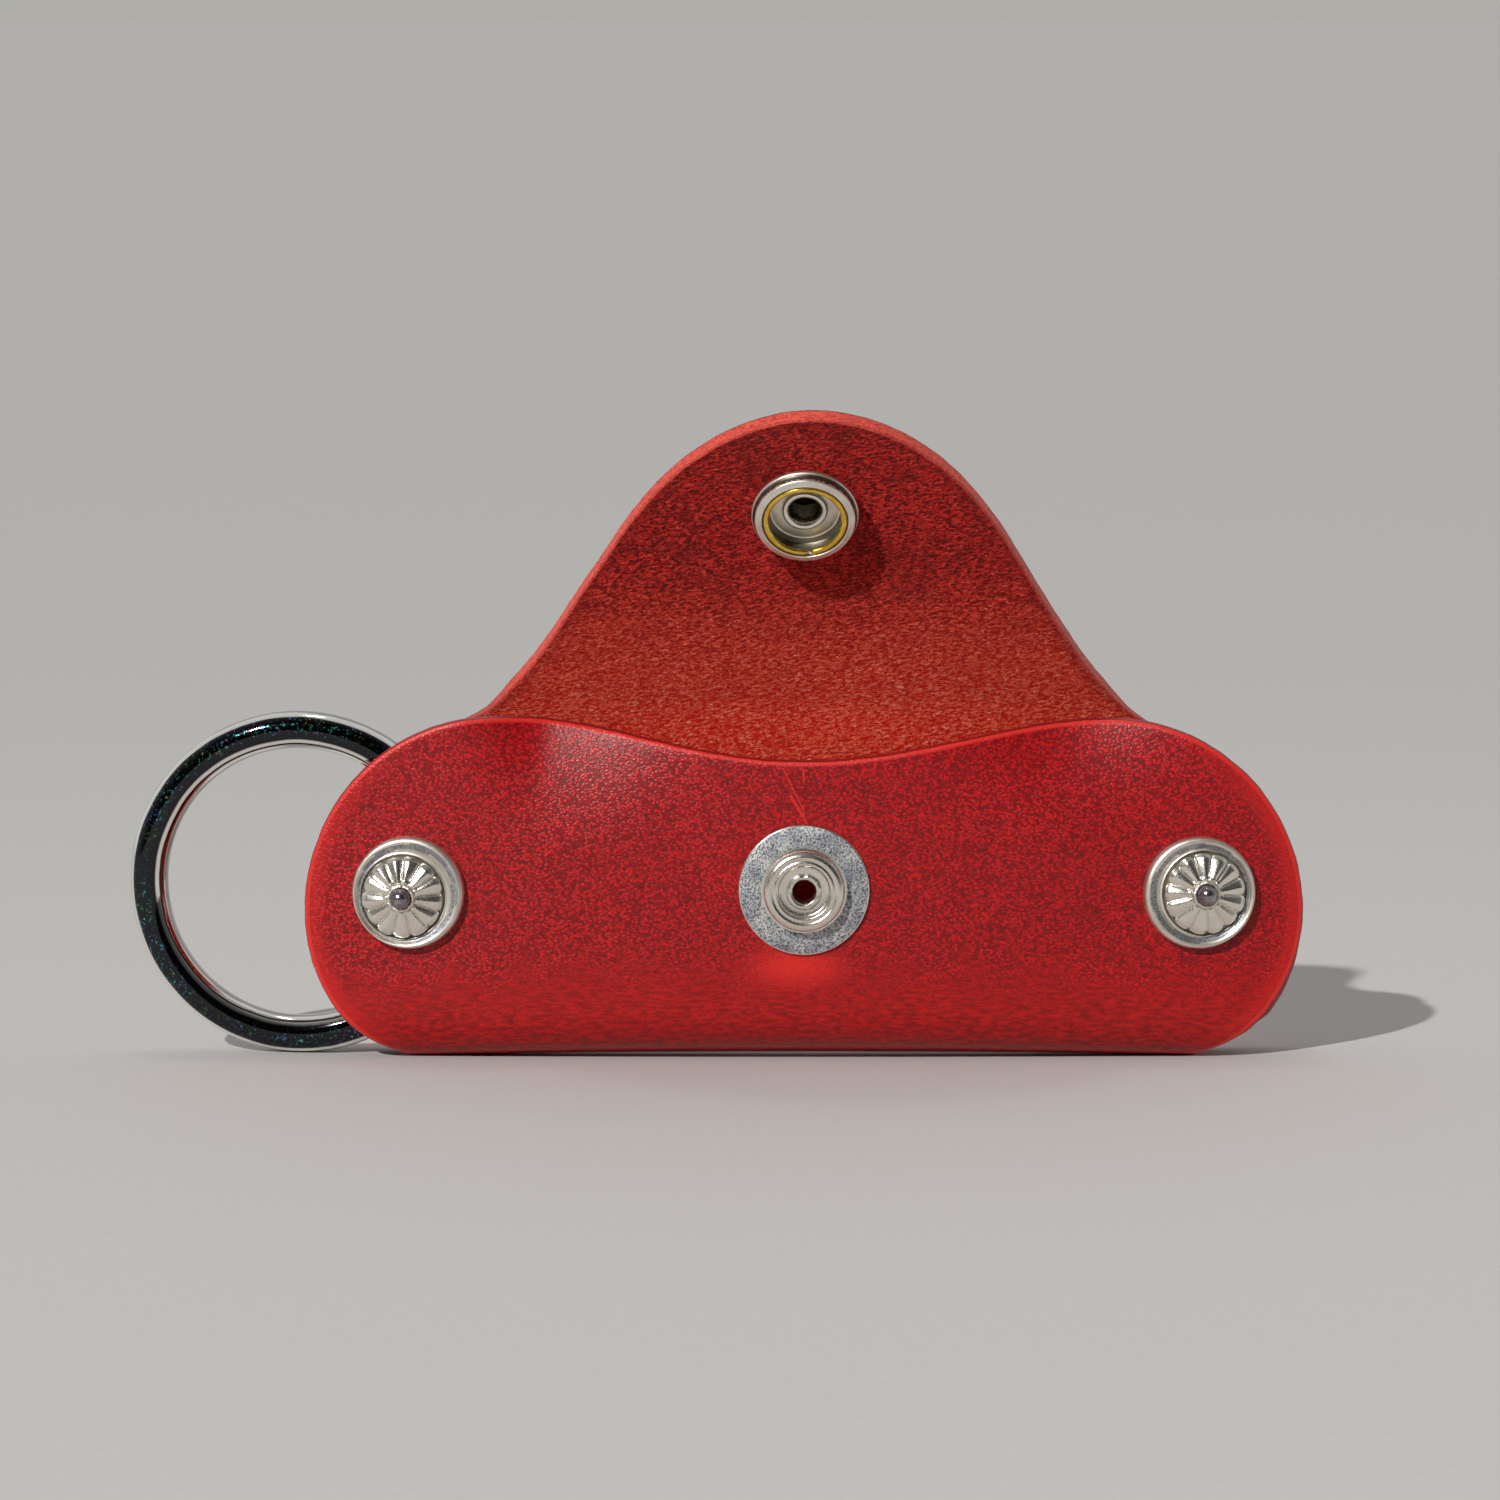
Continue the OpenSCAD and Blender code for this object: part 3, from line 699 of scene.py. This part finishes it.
def make_socket_floor():
    profile = rounded([(1.92, 0.2), (4.1, 0.2), (4.1, 0.34), (3.6, 0.34), (3.45, 0.4), (3.3, 0.34),
                       (1.92, 0.34)], 0.03)
    return lathe("snap_socket_floor_piece", profile, SOCKET, 96)


def make_cap():
    """A thin dome on the flap's outside, open towards the leather."""
    rim_r, rise, wall, top = 6.4, 1.3, 0.35, 1.9
    sphere = (rim_r ** 2 + rise ** 2) / (2 * rise)
    outer = [(0.0, top)]
    for i in range(1, 31):
        r = rim_r * math.sin(math.pi / 2 * i / 32)
        outer.append((r, top - rise + math.sqrt(sphere ** 2 - r ** 2) - (sphere - rise)))
    inner = [(r, h - wall) for r, h in outer if r < 5.9]
    rim = [(6.36, 0.66), (6.4, 0.5), (6.4, 0.15), (6.3, 0.0), (6.1, 0.0), (6.05, 0.1), (6.05, 0.5)]
    back = SOCKET @ Matrix.Translation((0, 0, -LEATHER_T)) @ Matrix.Scale(-1, 4, (0, 0, 1))
    return lathe("snap_cap_piece", outer + rim + inner[::-1], back, 128, closed=False)


def make_ring():
    """The key ring, resting on the floor and hung on the left post with a little play."""
    sides, steps = 40, 220
    play = 0.05
    hang_x = -math.sqrt((RING_MID_R - RING_WIRE_R - POST_R - play) ** 2
                        - (RING_MID_R + RING_WIRE_R - POST_Z) ** 2)
    matrix = post_frame(-1) @ Matrix.Translation((hang_x, RING_MID_R + RING_WIRE_R - POST_Z, 0))
    round_wire = [2 * math.pi * j / sides for j in range(sides)]
    rows = []
    for i in range(steps):
        a = 2 * math.pi * i / steps
        widths = [RING_WIRE_R * (1 + 0.004 * wobble(8 * math.cos(a), 8 * math.sin(a), b, 2.5, 3))
                  for b in round_wire]
        rows.append(wire_row(a, RING_MID_R, 0.0, widths))
    obj = sweep("key_ring_piece", rows, matrix)
    # how far the wire's surface faces away from the ring's middle, for its painted reflection colours
    outward = obj.data.attributes.new("outward", "FLOAT", "POINT")
    outward.data.foreach_set("value", [math.cos(b) for b in round_wire] * steps)
    return obj


pieces = {}
for label, side, turn in (("left", -1, 0.11), ("right", 1, -0.05)):
    pieces[label + "_cup"] = make_cup(label + "_cup_piece", side)
    pieces[label + "_flower"] = make_flower(label + "_flower_piece", side, turn)
    pieces[label + "_collar"] = make_collar(label + "_collar_piece", side)
    pieces[label + "_bead_screw"] = make_bead(label + "_bead_piece", side)
pieces["snap_stud"] = make_stud()
pieces["snap_eyelet"] = make_eyelet()
pieces["snap_socket"] = make_socket()
pieces["snap_spring"] = make_spring()
pieces["snap_rivet"] = make_rivet()
pieces["snap_socket_floor"] = make_socket_floor()
pieces["snap_cap"] = make_cap()
pieces["key_ring"] = make_ring()


# ---------------------------------------------------------------- materials
class Tree:
    """Short calls for building nodes. A value given for an input is another node's output, or a number."""

    def __init__(self, tree):
        self.tree = tree
        tree.nodes.clear()

    def put(self, socket, value):
        if hasattr(value, "is_output"):
            self.tree.links.new(value, socket)
        else:
            socket.default_value = value

    def node(self, kind, inputs=()):
        """A new node, with its inputs by name or number."""
        n = self.tree.nodes.new("ShaderNode" + kind)
        for key, value in dict(inputs).items():
            self.put(n.inputs[key], value)
        return n

    def attribute(self, name, output):
        n = self.node("Attribute")
        n.attribute_name = name
        return n.outputs[output]

    def coords(self):
        return self.node("TexCoord").outputs["Object"]

    def scaled(self, vec, scale):
        return self.node("Mapping", {"Scale": scale, "Vector": vec}).outputs[0]

    def turned(self, vec, degrees):
        return self.node("Mapping", {"Rotation": (0, 0, math.radians(degrees)), "Vector": vec}).outputs[0]

    def noise(self, vec, scale, detail=2.0, rough=0.5, distort=0.0):
        return self.node("TexNoise", {"Vector": vec, "Scale": scale, "Detail": detail, "Roughness": rough,
                                      "Distortion": distort}).outputs[0]

    def voronoi(self, vec, scale):
        return self.node("TexVoronoi", {"Vector": vec, "Scale": scale}).outputs["Distance"]

    def ramp(self, fac, stops):
        n = self.node("ValToRGB", {0: fac})
        elements = n.color_ramp.elements
        elements.remove(elements[-1])
        elements[0].position, elements[0].color = stops[0]
        for position, color in stops[1:]:
            elements.new(position).color = color
        return n.outputs[0]

    def fade(self, fac, lo, hi, a=0.0, b=1.0, kind="SMOOTHSTEP"):
        """a where fac is lo, b where it is hi."""
        n = self.node("MapRange", {0: fac, 1: lo, 2: hi, 3: a, 4: b})
        n.interpolation_type = kind
        return n.outputs[0]

    def mix(self, fac, a, b):
        n = self.node("Mix")
        n.data_type = "RGBA"
        for i, value in ((0, fac), (6, a), (7, b)):
            self.put(n.inputs[i], value)
        return n.outputs[2]

    def math(self, operation, a, b=0.0):
        n = self.node("Math", {0: a, 1: b})
        n.operation = operation
        return n.outputs[0]

    def times(self, a, b):
        return self.math("MULTIPLY", a, b)

    def rest(self, a, share=1.0):
        """1 less a share of a."""
        return self.math("SUBTRACT", 1.0, self.times(a, share))

    def vector(self, operation, a, b=(0, 0, 0), output=0):
        n = self.node("VectorMath", {0: a, 1: b})
        n.operation = operation
        return n.outputs[output]

    def parts(self, vec):
        return self.node("SeparateXYZ", {0: vec}).outputs

    def bump(self, height, distance, strength):
        return self.node("Bump", {"Distance": distance, "Strength": strength, "Height": height}).outputs[0]

    def streak(self, x, p, a, b, width):
        """1 on the line from a to b of the sheet, 0 beyond its width."""
        line = Vector((b[0] - a[0], b[1] - a[1]))
        u = line.normalized()
        rx, rp = self.math("SUBTRACT", x, a[0]), self.math("SUBTRACT", p, a[1])
        t = self.math("ADD", self.times(rx, u.x), self.times(rp, u.y))
        off = self.math("ADD", self.times(rx, -u.y), self.times(rp, u.x))
        past = self.math("ABSOLUTE", self.math("SUBTRACT", t, line.length / 2))
        return self.times(self.fade(self.math("ABSOLUTE", off), width, width * 0.2),
                          self.fade(past, line.length / 2 + 0.1, line.length / 2 - 0.2))

    def spot(self, vec, centre, radius, squash=(1, 1)):
        """1 at a point of the sheet, falling to 0 at its radius."""
        away = self.vector("SUBTRACT", vec, (centre[0], centre[1], 0))
        away = self.vector("MULTIPLY", away, (1 / (radius * squash[0]), 1 / (radius * squash[1]), 0))
        return self.fade(self.vector("LENGTH", away, output="Value"), 1.0, 0.0)


class Material(Tree):
    INPUTS = {"color": "Base Color", "rough": "Roughness", "metal": "Metallic", "spec": "Specular IOR Level",
              "coat": "Coat Weight", "coat_rough": "Coat Roughness", "normal": "Normal"}

    def __init__(self, name):
        self.mat = bpy.data.materials.new(name)
        self.mat.use_nodes = True
        super().__init__(self.mat.node_tree)
        self.shader = self.node("BsdfPrincipled")
        self.node("OutputMaterial", {0: self.shader.outputs[0]})

    def set(self, **values):
        for key, value in values.items():
            self.put(self.shader.inputs[self.INPUTS[key]], value)
        return self.mat


def rgb(r, g, b):
    """A colour given in 0..255 display values, as linear."""
    def lin(c):
        c /= 255
        return c / 12.92 if c <= 0.04045 else ((c + 0.055) / 1.055) ** 2.4
    return (lin(r), lin(g), lin(b), 1.0)


def grain_material():
    m = Material("red_leather_grain")
    v = m.attribute("sheet", "Vector")
    x, p, _ = m.parts(v)
    rim = m.attribute("rim", "Fac")
    cells = m.voronoi(m.scaled(m.turned(v, 8.0), (0.85, 1.25, 1.0)), 3.1)
    worm = m.noise(m.scaled(m.turned(v, -10.0), (0.8, 1.25, 1.0)), 3.3, 2, 0.6, 0.8)
    fine = m.noise(v, 5.2, 2, 0.6)
    mottle = m.noise(v, 0.42, 4, 0.6)
    cloud = m.noise(v, 0.06, 3, 0.55)
    col = m.mix(m.fade(mottle, 0.32, 0.7), rgb(194, 13, 19), rgb(210, 18, 24))
    col = m.mix(m.fade(cloud, 0.4, 0.72, 0, 0.45), col, rgb(186, 11, 17))
    # dark pores between brighter crests, both weaker where the leather is stretched round the fold
    fold = m.fade(m.math("ADD", m.math("ABSOLUTE", p), m.fade(mottle, 0.3, 0.7, -2.0, 2.0)), 12.5, 4.5)
    calm = m.rest(fold, 0.6)
    pores = m.fade(cells, 0.26, 0.62)
    col = m.mix(m.times(pores, m.times(calm, 0.8)), col, rgb(104, 3, 10))
    col = m.mix(m.times(m.fade(worm, 0.50, 0.64), m.times(calm, 0.5)), col, rgb(92, 2, 8))
    col = m.mix(m.times(m.fade(worm, 0.47, 0.38), m.times(calm, 0.3)), col, rgb(228, 30, 33))
    # smoother and more orange at the fold, with streaks along it
    streaks = m.noise(m.scaled(v, (0.4, 1.5, 1.0)), 2.0, 4, 0.68)
    col = m.mix(m.times(fold, 0.72), col, m.mix(m.fade(streaks, 0.42, 0.6), rgb(116, 4, 5), rgb(188, 17, 11)))
    # bright stretched leather round the stud's flange, and a few old scratches above it
    halo = m.spot(v, (0.0, STUD_P), 9.0)
    below = m.spot(v, (-0.8, STUD_P + 8.0), 4.6, (1.6, 0.8))
    col = m.mix(m.times(below, 0.9), col, rgb(226, 40, 32))
    col = m.mix(m.times(halo, 0.4), col, rgb(206, 30, 30))
    for ax, az, bx, bz, width in ((-1.4, 26.9, 0.0, 24.6, 0.22), (-2.1, 29.6, 0.1, 25.0, 0.10),
                                  (-0.1, 29.6, 0.0, 28.0, 0.14), (0.0, 24.6, 0.3, 24.0, 0.18)):
        scratch = m.streak(x, p, (ax, front_p(az)), (bx, front_p(bz)), width)
        col = m.mix(m.times(scratch, 0.75), col, rgb(232, 44, 38))
    # a lighter band along the cut edges, widest at the ends, and a brighter thin line right at the edge
    ends = m.fade(m.math("ABSOLUTE", x), 36, 48)
    col = m.mix(m.times(m.fade(rim, 2.6, 0.7), m.times(ends, 0.6)), col, rgb(206, 28, 24))
    col = m.mix(m.fade(rim, 0.62, 0.32, 0, 0.85), col, rgb(226, 50, 44))
    height = m.math("ADD", m.times(worm, -0.6), m.times(fine, 0.3))
    height = m.times(m.math("ADD", height, m.times(pores, -0.5)), m.rest(fold, 0.7))
    return m.set(color=col, rough=m.fade(worm, 0.3, 0.7, 0.32, 0.44, "LINEAR"),
                 normal=m.bump(height, 0.00005, 0.7), spec=0.4)


def flesh_material():
    m = Material("red_leather_flesh")
    v = m.attribute("sheet", "Vector")
    p = m.parts(v)[1]
    slant = m.turned(v, -12.0)
    fibres = m.noise(m.scaled(slant, (0.8, 1.7, 1.0)), 2.1, 4, 0.66, 0.8)
    nap = m.noise(m.scaled(slant, (1.0, 1.8, 1.0)), 3.6, 2, 0.6, 0.4)
    cloud = m.noise(v, 0.10, 3, 0.55)
    mottle = m.noise(v, 0.4, 4, 0.6)
    # painted light: low on the flap, near the crease, the colours are painted brighter
    low = m.fade(p, P_CREASE + 20, P_CREASE - 1)
    bright = m.mix(low, rgb(224, 32, 20), rgb(255, 96, 66))
    dark = m.mix(low, rgb(104, 4, 4), rgb(212, 26, 14))
    col = m.mix(m.fade(fibres, 0.42, 0.58), dark, bright)
    col = m.mix(m.fade(mottle, 0.5, 0.72, 0, 0.4), col, dark)
    col = m.mix(m.fade(cloud, 0.45, 0.7, 0, 0.3), col, dark)
    # painted glints where loose fibre ends catch the light, more of them low on the flap
    ends = m.times(m.fade(nap, 0.54, 0.62), m.fade(fibres, 0.48, 0.58))
    col = m.mix(m.times(ends, m.fade(low, 0.0, 1.0, 0.2, 1.0, "LINEAR")), col, rgb(255, 172, 146))
    # pressed smoother and darker near the cut edge
    col = m.mix(m.fade(m.attribute("rim", "Fac"), 1.6, 0.3, 0, 0.35), col, rgb(120, 16, 14))
    height = m.math("ADD", fibres, m.times(nap, 0.55))
    return m.set(color=col, rough=m.fade(fibres, 0.4, 0.65, 0.7, 0.38, "LINEAR"),
                 normal=m.bump(height, 0.0006, 0.9), spec=0.22)


def edge_material():
    m = Material("red_leather_edge")
    v = m.attribute("sheet", "Vector")
    _, p, o = m.parts(v)
    fibres = m.noise(m.scaled(v, (1.0, 1.0, 2.5)), 2.4, 4, 0.7)
    fine = m.noise(v, 4.5, 3, 0.6)
    # dark round the case, painted shade on the cut edge that faces down and sideways there, and orange round
    # the flap
    flap = m.fade(p, P_CREASE - 6, P_CREASE + 6)
    pale = m.mix(flap, rgb(190, 34, 28), rgb(248, 92, 70))
    deep = m.mix(flap, rgb(112, 14, 14), rgb(176, 30, 20))
    col = m.mix(m.fade(fibres, 0.35, 0.62), deep, pale)
    col = m.mix(m.fade(o, 0.5, 0.74, 0, 0.9), col, rgb(92, 8, 18))
    col = m.mix(m.fade(o, -0.6, -0.9, 0, 0.4), col, rgb(120, 16, 14))
    height = m.math("ADD", m.times(fibres, 0.8), m.times(fine, 0.4))
    return m.set(color=col, rough=0.48, normal=m.bump(height, 0.0002, 0.8), spec=0.45)


def metal(name, base, dark, rough, vary, bump, scale, speck=None):
    """A plated metal: slow tone changes, and fine scratches or grain in its roughness and bump."""
    m = Material(name)
    v = m.scaled(m.coords(), (1000, 1000, 1000))
    slow = m.noise(v, 0.45 * scale, 3, 0.6)
    fine = m.noise(v, 6.0 * scale, 3, 0.65)
    lines = m.noise(m.scaled(v, (1.0, 7.0, 1.0)), 3.0 * scale, 3, 0.7)
    col = m.mix(m.fade(slow, 0.3, 0.7), dark, base)
    if speck is not None:
        col = m.mix(m.fade(fine, 0.47, 0.57), col, speck)
    height = m.math("ADD", m.times(fine, 0.6), m.times(lines, 0.4))
    return m.set(color=col, rough=m.fade(fine, 0.3, 0.7, rough - vary, rough + vary, "LINEAR"),
                 normal=m.bump(height, bump, 0.6), metal=1.0)


def ring_painted_reflection_material():
    """Polished wire, its reflections painted into its colour: a painted dark reflection on its two faces with
    coloured flecks, a painted bright reflection along its inner and outer rim.
    """
    m = Material("ring_painted_reflections")
    v = m.scaled(m.coords(), (1000, 1000, 1000))
    slow = m.noise(v, 0.22, 2, 0.5)
    hue = m.noise(v, 0.55, 2, 0.5)
    fine = m.noise(v, 3.4, 3, 0.7)
    across = m.math("ADD", m.fade(m.attribute("outward", "Fac"), -1.0, 1.0, 0.0, 1.0, "LINEAR"),
                    m.fade(slow, 0.3, 0.7, -0.012, 0.012, "LINEAR"))
    # painted reflections: dark on the two faces, bright and pale along the rims, with a thin dark painted line
    # in the outer bright one
    painted_dark_reflection, line, painted_bright_reflection, painted_pale_reflection = rgb(34, 34, 40), rgb(60, 56, 54), rgb(252, 250, 244), rgb(158, 156, 152)
    painted_reflection_bands = m.ramp(across, [(0.0, painted_pale_reflection), (0.04, painted_pale_reflection), (0.06, painted_bright_reflection), (0.125, painted_bright_reflection), (0.14, line),
                            (0.17, line), (0.185, painted_bright_reflection), (0.245, painted_bright_reflection), (0.285, painted_dark_reflection), (0.855, painted_dark_reflection),
                            (0.875, painted_bright_reflection), (0.95, painted_bright_reflection), (0.975, painted_pale_reflection), (1.0, painted_pale_reflection)])
    tint = m.ramp(hue, [(0.36, rgb(116, 100, 176)), (0.44, rgb(84, 146, 200)), (0.52, rgb(74, 196, 180)),
                        (0.6, rgb(70, 168, 92)), (0.68, rgb(180, 166, 108))])
    painted_dark_face = m.times(m.fade(across, 0.3, 0.62), m.fade(across, 0.87, 0.84))
    flecks = m.times(m.fade(fine, 0.56, 0.66), m.fade(slow, 0.36, 0.6, 0.3, 1.0))
    flecks = m.times(flecks, painted_dark_face)
    return m.set(color=m.mix(flecks, painted_reflection_bands, tint), rough=m.fade(fine, 0.3, 0.7, 0.05, 0.12, "LINEAR"),
                 normal=m.bump(fine, 0.000004, 0.6), metal=m.rest(flecks, 0.6), coat=0.5, coat_rough=0.03)


leather_finish = [grain_material(), flesh_material(), edge_material()]   # in the order of GRAIN, FLESH, CUT
for obj in (leather_lower, leather_upper):
    for mat in leather_finish:
        obj.data.materials.append(mat)

satin = metal("nickel_satin", rgb(240, 236, 226), rgb(222, 216, 202), 0.42, 0.08, 0.00003, 1.0)
bright = metal("nickel_bright", rgb(244, 240, 230), rgb(235, 230, 219), 0.24, 0.06, 0.000012, 1.0)
blasted = metal("nickel_blasted", rgb(236, 236, 232), rgb(164, 172, 184), 0.58, 0.14, 0.00012, 0.9,
                speck=rgb(116, 118, 124))
# a darker nickel that is painted shade, for the socket's inner wall, the groove round its rim and the cap's
# inside
inside = metal("nickel_painted_shade", rgb(128, 122, 106), rgb(84, 78, 64), 0.42, 0.08, 0.00003, 1.0)
# a rougher, speckled nickel whose darker bluish colour is a painted dark reflection, for the cups' inner slope
slope = metal("nickel_slope_painted_reflection", rgb(214, 212, 206), rgb(168, 168, 172), 0.46, 0.1, 0.00006, 1.0,
              speck=rgb(132, 136, 148))
ball = metal("nickel_ball", rgb(206, 202, 206), rgb(140, 134, 142), 0.24, 0.1, 0.00003, 1.6,
             speck=rgb(112, 106, 116))
brass = metal("spring_brass", rgb(248, 212, 96), rgb(222, 178, 66), 0.26, 0.06, 0.00001, 1.5)
post_steel = metal("post_steel", rgb(226, 226, 222), rgb(206, 206, 202), 0.24, 0.07, 0.00002, 1.2)

finish = {"snap_stud": (blasted, "nickel"), "snap_eyelet": (bright, "nickel"),
          "snap_socket": (satin, "nickel"), "snap_spring": (brass, "spring_brass"),
          "snap_rivet": (bright, "nickel"), "snap_socket_floor": (satin, "nickel"),
          "snap_cap": (bright, "nickel"),
          "key_ring": (ring_painted_reflection_material(), "polished_steel")}
for label in ("left", "right"):
    finish[label + "_cup"] = finish[label + "_collar"] = (satin, "nickel")
    finish[label + "_flower"] = (bright, "nickel")
    finish[label + "_bead_screw"] = (ball, "polished_steel")
bodies = {"key_ring": "ring", "snap_socket": "flap", "snap_spring": "flap", "snap_rivet": "flap",
          "snap_socket_floor": "flap", "snap_cap": "flap"}
for node, obj in pieces.items():
    mat, slot = finish[node]
    obj.data.materials.append(mat)
    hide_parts(node)
    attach(obj, bodies.get(node, "case"))


def second_finish(node, mat, matrix, where):
    """Gives mat to the faces that pass where(r, h, up), from their middle and normal in matrix's frame."""
    mesh = pieces[node].data
    mesh.materials.append(mat)
    inverse = matrix.inverted()
    turn = inverse.to_3x3()
    for poly in mesh.polygons:
        c = inverse @ (poly.center / MM)
        up = (turn @ poly.normal).z
        poly.material_index = 1 if where(math.hypot(c.x, c.y), c.z, up) else 0


second_finish("snap_stud", bright, STUD, lambda r, h, up: r < 4.3 or r > 6.3)
# painted shade on the socket's inner wall and in the groove round its rim
second_finish("snap_socket", inside, SOCKET,
              lambda r, h, up: (r < 4.6 and 0.25 < h < 2.1) or (r > 4.8 and 1.42 < h < 1.94))
# painted shade on the cap's inside, which faces the leather
second_finish("snap_cap", inside, SOCKET, lambda r, h, up: up > 0.2 and r < 6.0)
for label, side in (("left", -1), ("right", 1)):
    # the cup's inner slope: rougher and speckled, with a painted dark reflection in its colour
    second_finish(label + "_cup", slope, cup_frame(side), lambda r, h, up: 4.45 < r < 5.0 and h > 0.7)
    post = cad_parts[label + "_post"]
    post.data.materials.clear()
    post.data.materials.append(post_steel)

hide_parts("leather_case", "leather_bridge")
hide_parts("leather_flap")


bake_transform(leather_lower)
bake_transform(leather_upper)

# ---------------------------------------------------------------- floor, light and camera, in metres
floor_mesh = bpy.data.meshes.new("floor")
floor_mesh.from_pydata([(-60, -60, 0), (60, -60, 0), (60, 60, 0), (-60, 60, 0)], [], [(0, 1, 2, 3)])
floor = add_object("floor", floor_mesh)
paper = Material("floor_paper")
depth = paper.parts(paper.coords())[1]
fibre = paper.noise(paper.coords(), 900.0, 2, 0.5)
# painted light: the paper is painted lighter towards the front and darker further back
tone = paper.mix(paper.fade(depth, -0.25, 0.45), rgb(208, 205, 203), rgb(191, 190, 187))
floor_mesh.materials.append(paper.set(
    color=paper.mix(paper.fade(fibre, 0.3, 0.7, 0, 0.08), tone, rgb(176, 172, 168)), rough=0.9, spec=0.2))

world = bpy.data.worlds.new("studio")
bpy.context.scene.world = world
world.use_nodes = True
sky = Tree(world.node_tree)
# the room is bright behind the object and dark behind the camera; the camera itself sees one even tone
depth = sky.parts(sky.node("TexCoord").outputs["Generated"])[1]
glow = sky.ramp(sky.fade(depth, -1.0, 1.0, kind="LINEAR"),
                [(0.0, (0.03, 0.03, 0.032, 1))]
                + [(at, (c, c * 0.995, c * 0.985, 1)) for at, c in ((0.22, 0.05), (0.38, 0.26), (0.52, 0.46))]
                + [(1.0, (0.62, 0.62, 0.62, 1))])
lit = sky.node("Background", {0: glow})
seen = sky.node("Background", {0: (0.428, 0.418, 0.392, 1)})
path = sky.node("LightPath")
either = sky.node("MixShader", {0: path.outputs["Is Camera Ray"], 1: lit.outputs[0], 2: seen.outputs[0]})
sky.node("OutputWorld", {0: either.outputs[0]})

key_data = bpy.data.lights.new("key", "SUN")
key_data.energy = 2.65
key_data.angle = math.radians(1.3)
key_data.color = (1.0, 0.985, 0.965)
key = add_object("key", key_data)
key.rotation_euler = Vector((-0.43, -0.71, 0.556)).to_track_quat("Z", "Y").to_euler()

# a small lamp overhead, for the small highlights on the ring's wire
top_data = bpy.data.lights.new("top", "AREA")
top_data.shape = "RECTANGLE"
top_data.size = 0.1
top_data.size_y = 0.05
top_data.energy = 0.38
top = add_object("top", top_data)
top.location = (-0.08, 0.18, 0.943)
top.rotation_euler = (Vector(top.location) - Vector((-0.05, 0, 0.017))).to_track_quat("Z", "Y").to_euler()

cam_data = bpy.data.cameras.new("camera")
cam_data.lens = 169.03
cam_data.sensor_width = 36
cam_data.clip_start = 0.01
cam_data.clip_end = 200
cam = add_object("camera", cam_data)
cam.location = (-0.00538, -0.70044, 0.10456)
cam.rotation_euler = (math.radians(84), 0, 0)
bpy.context.scene.camera = cam
bpy.context.scene.view_settings.view_transform = "Standard"
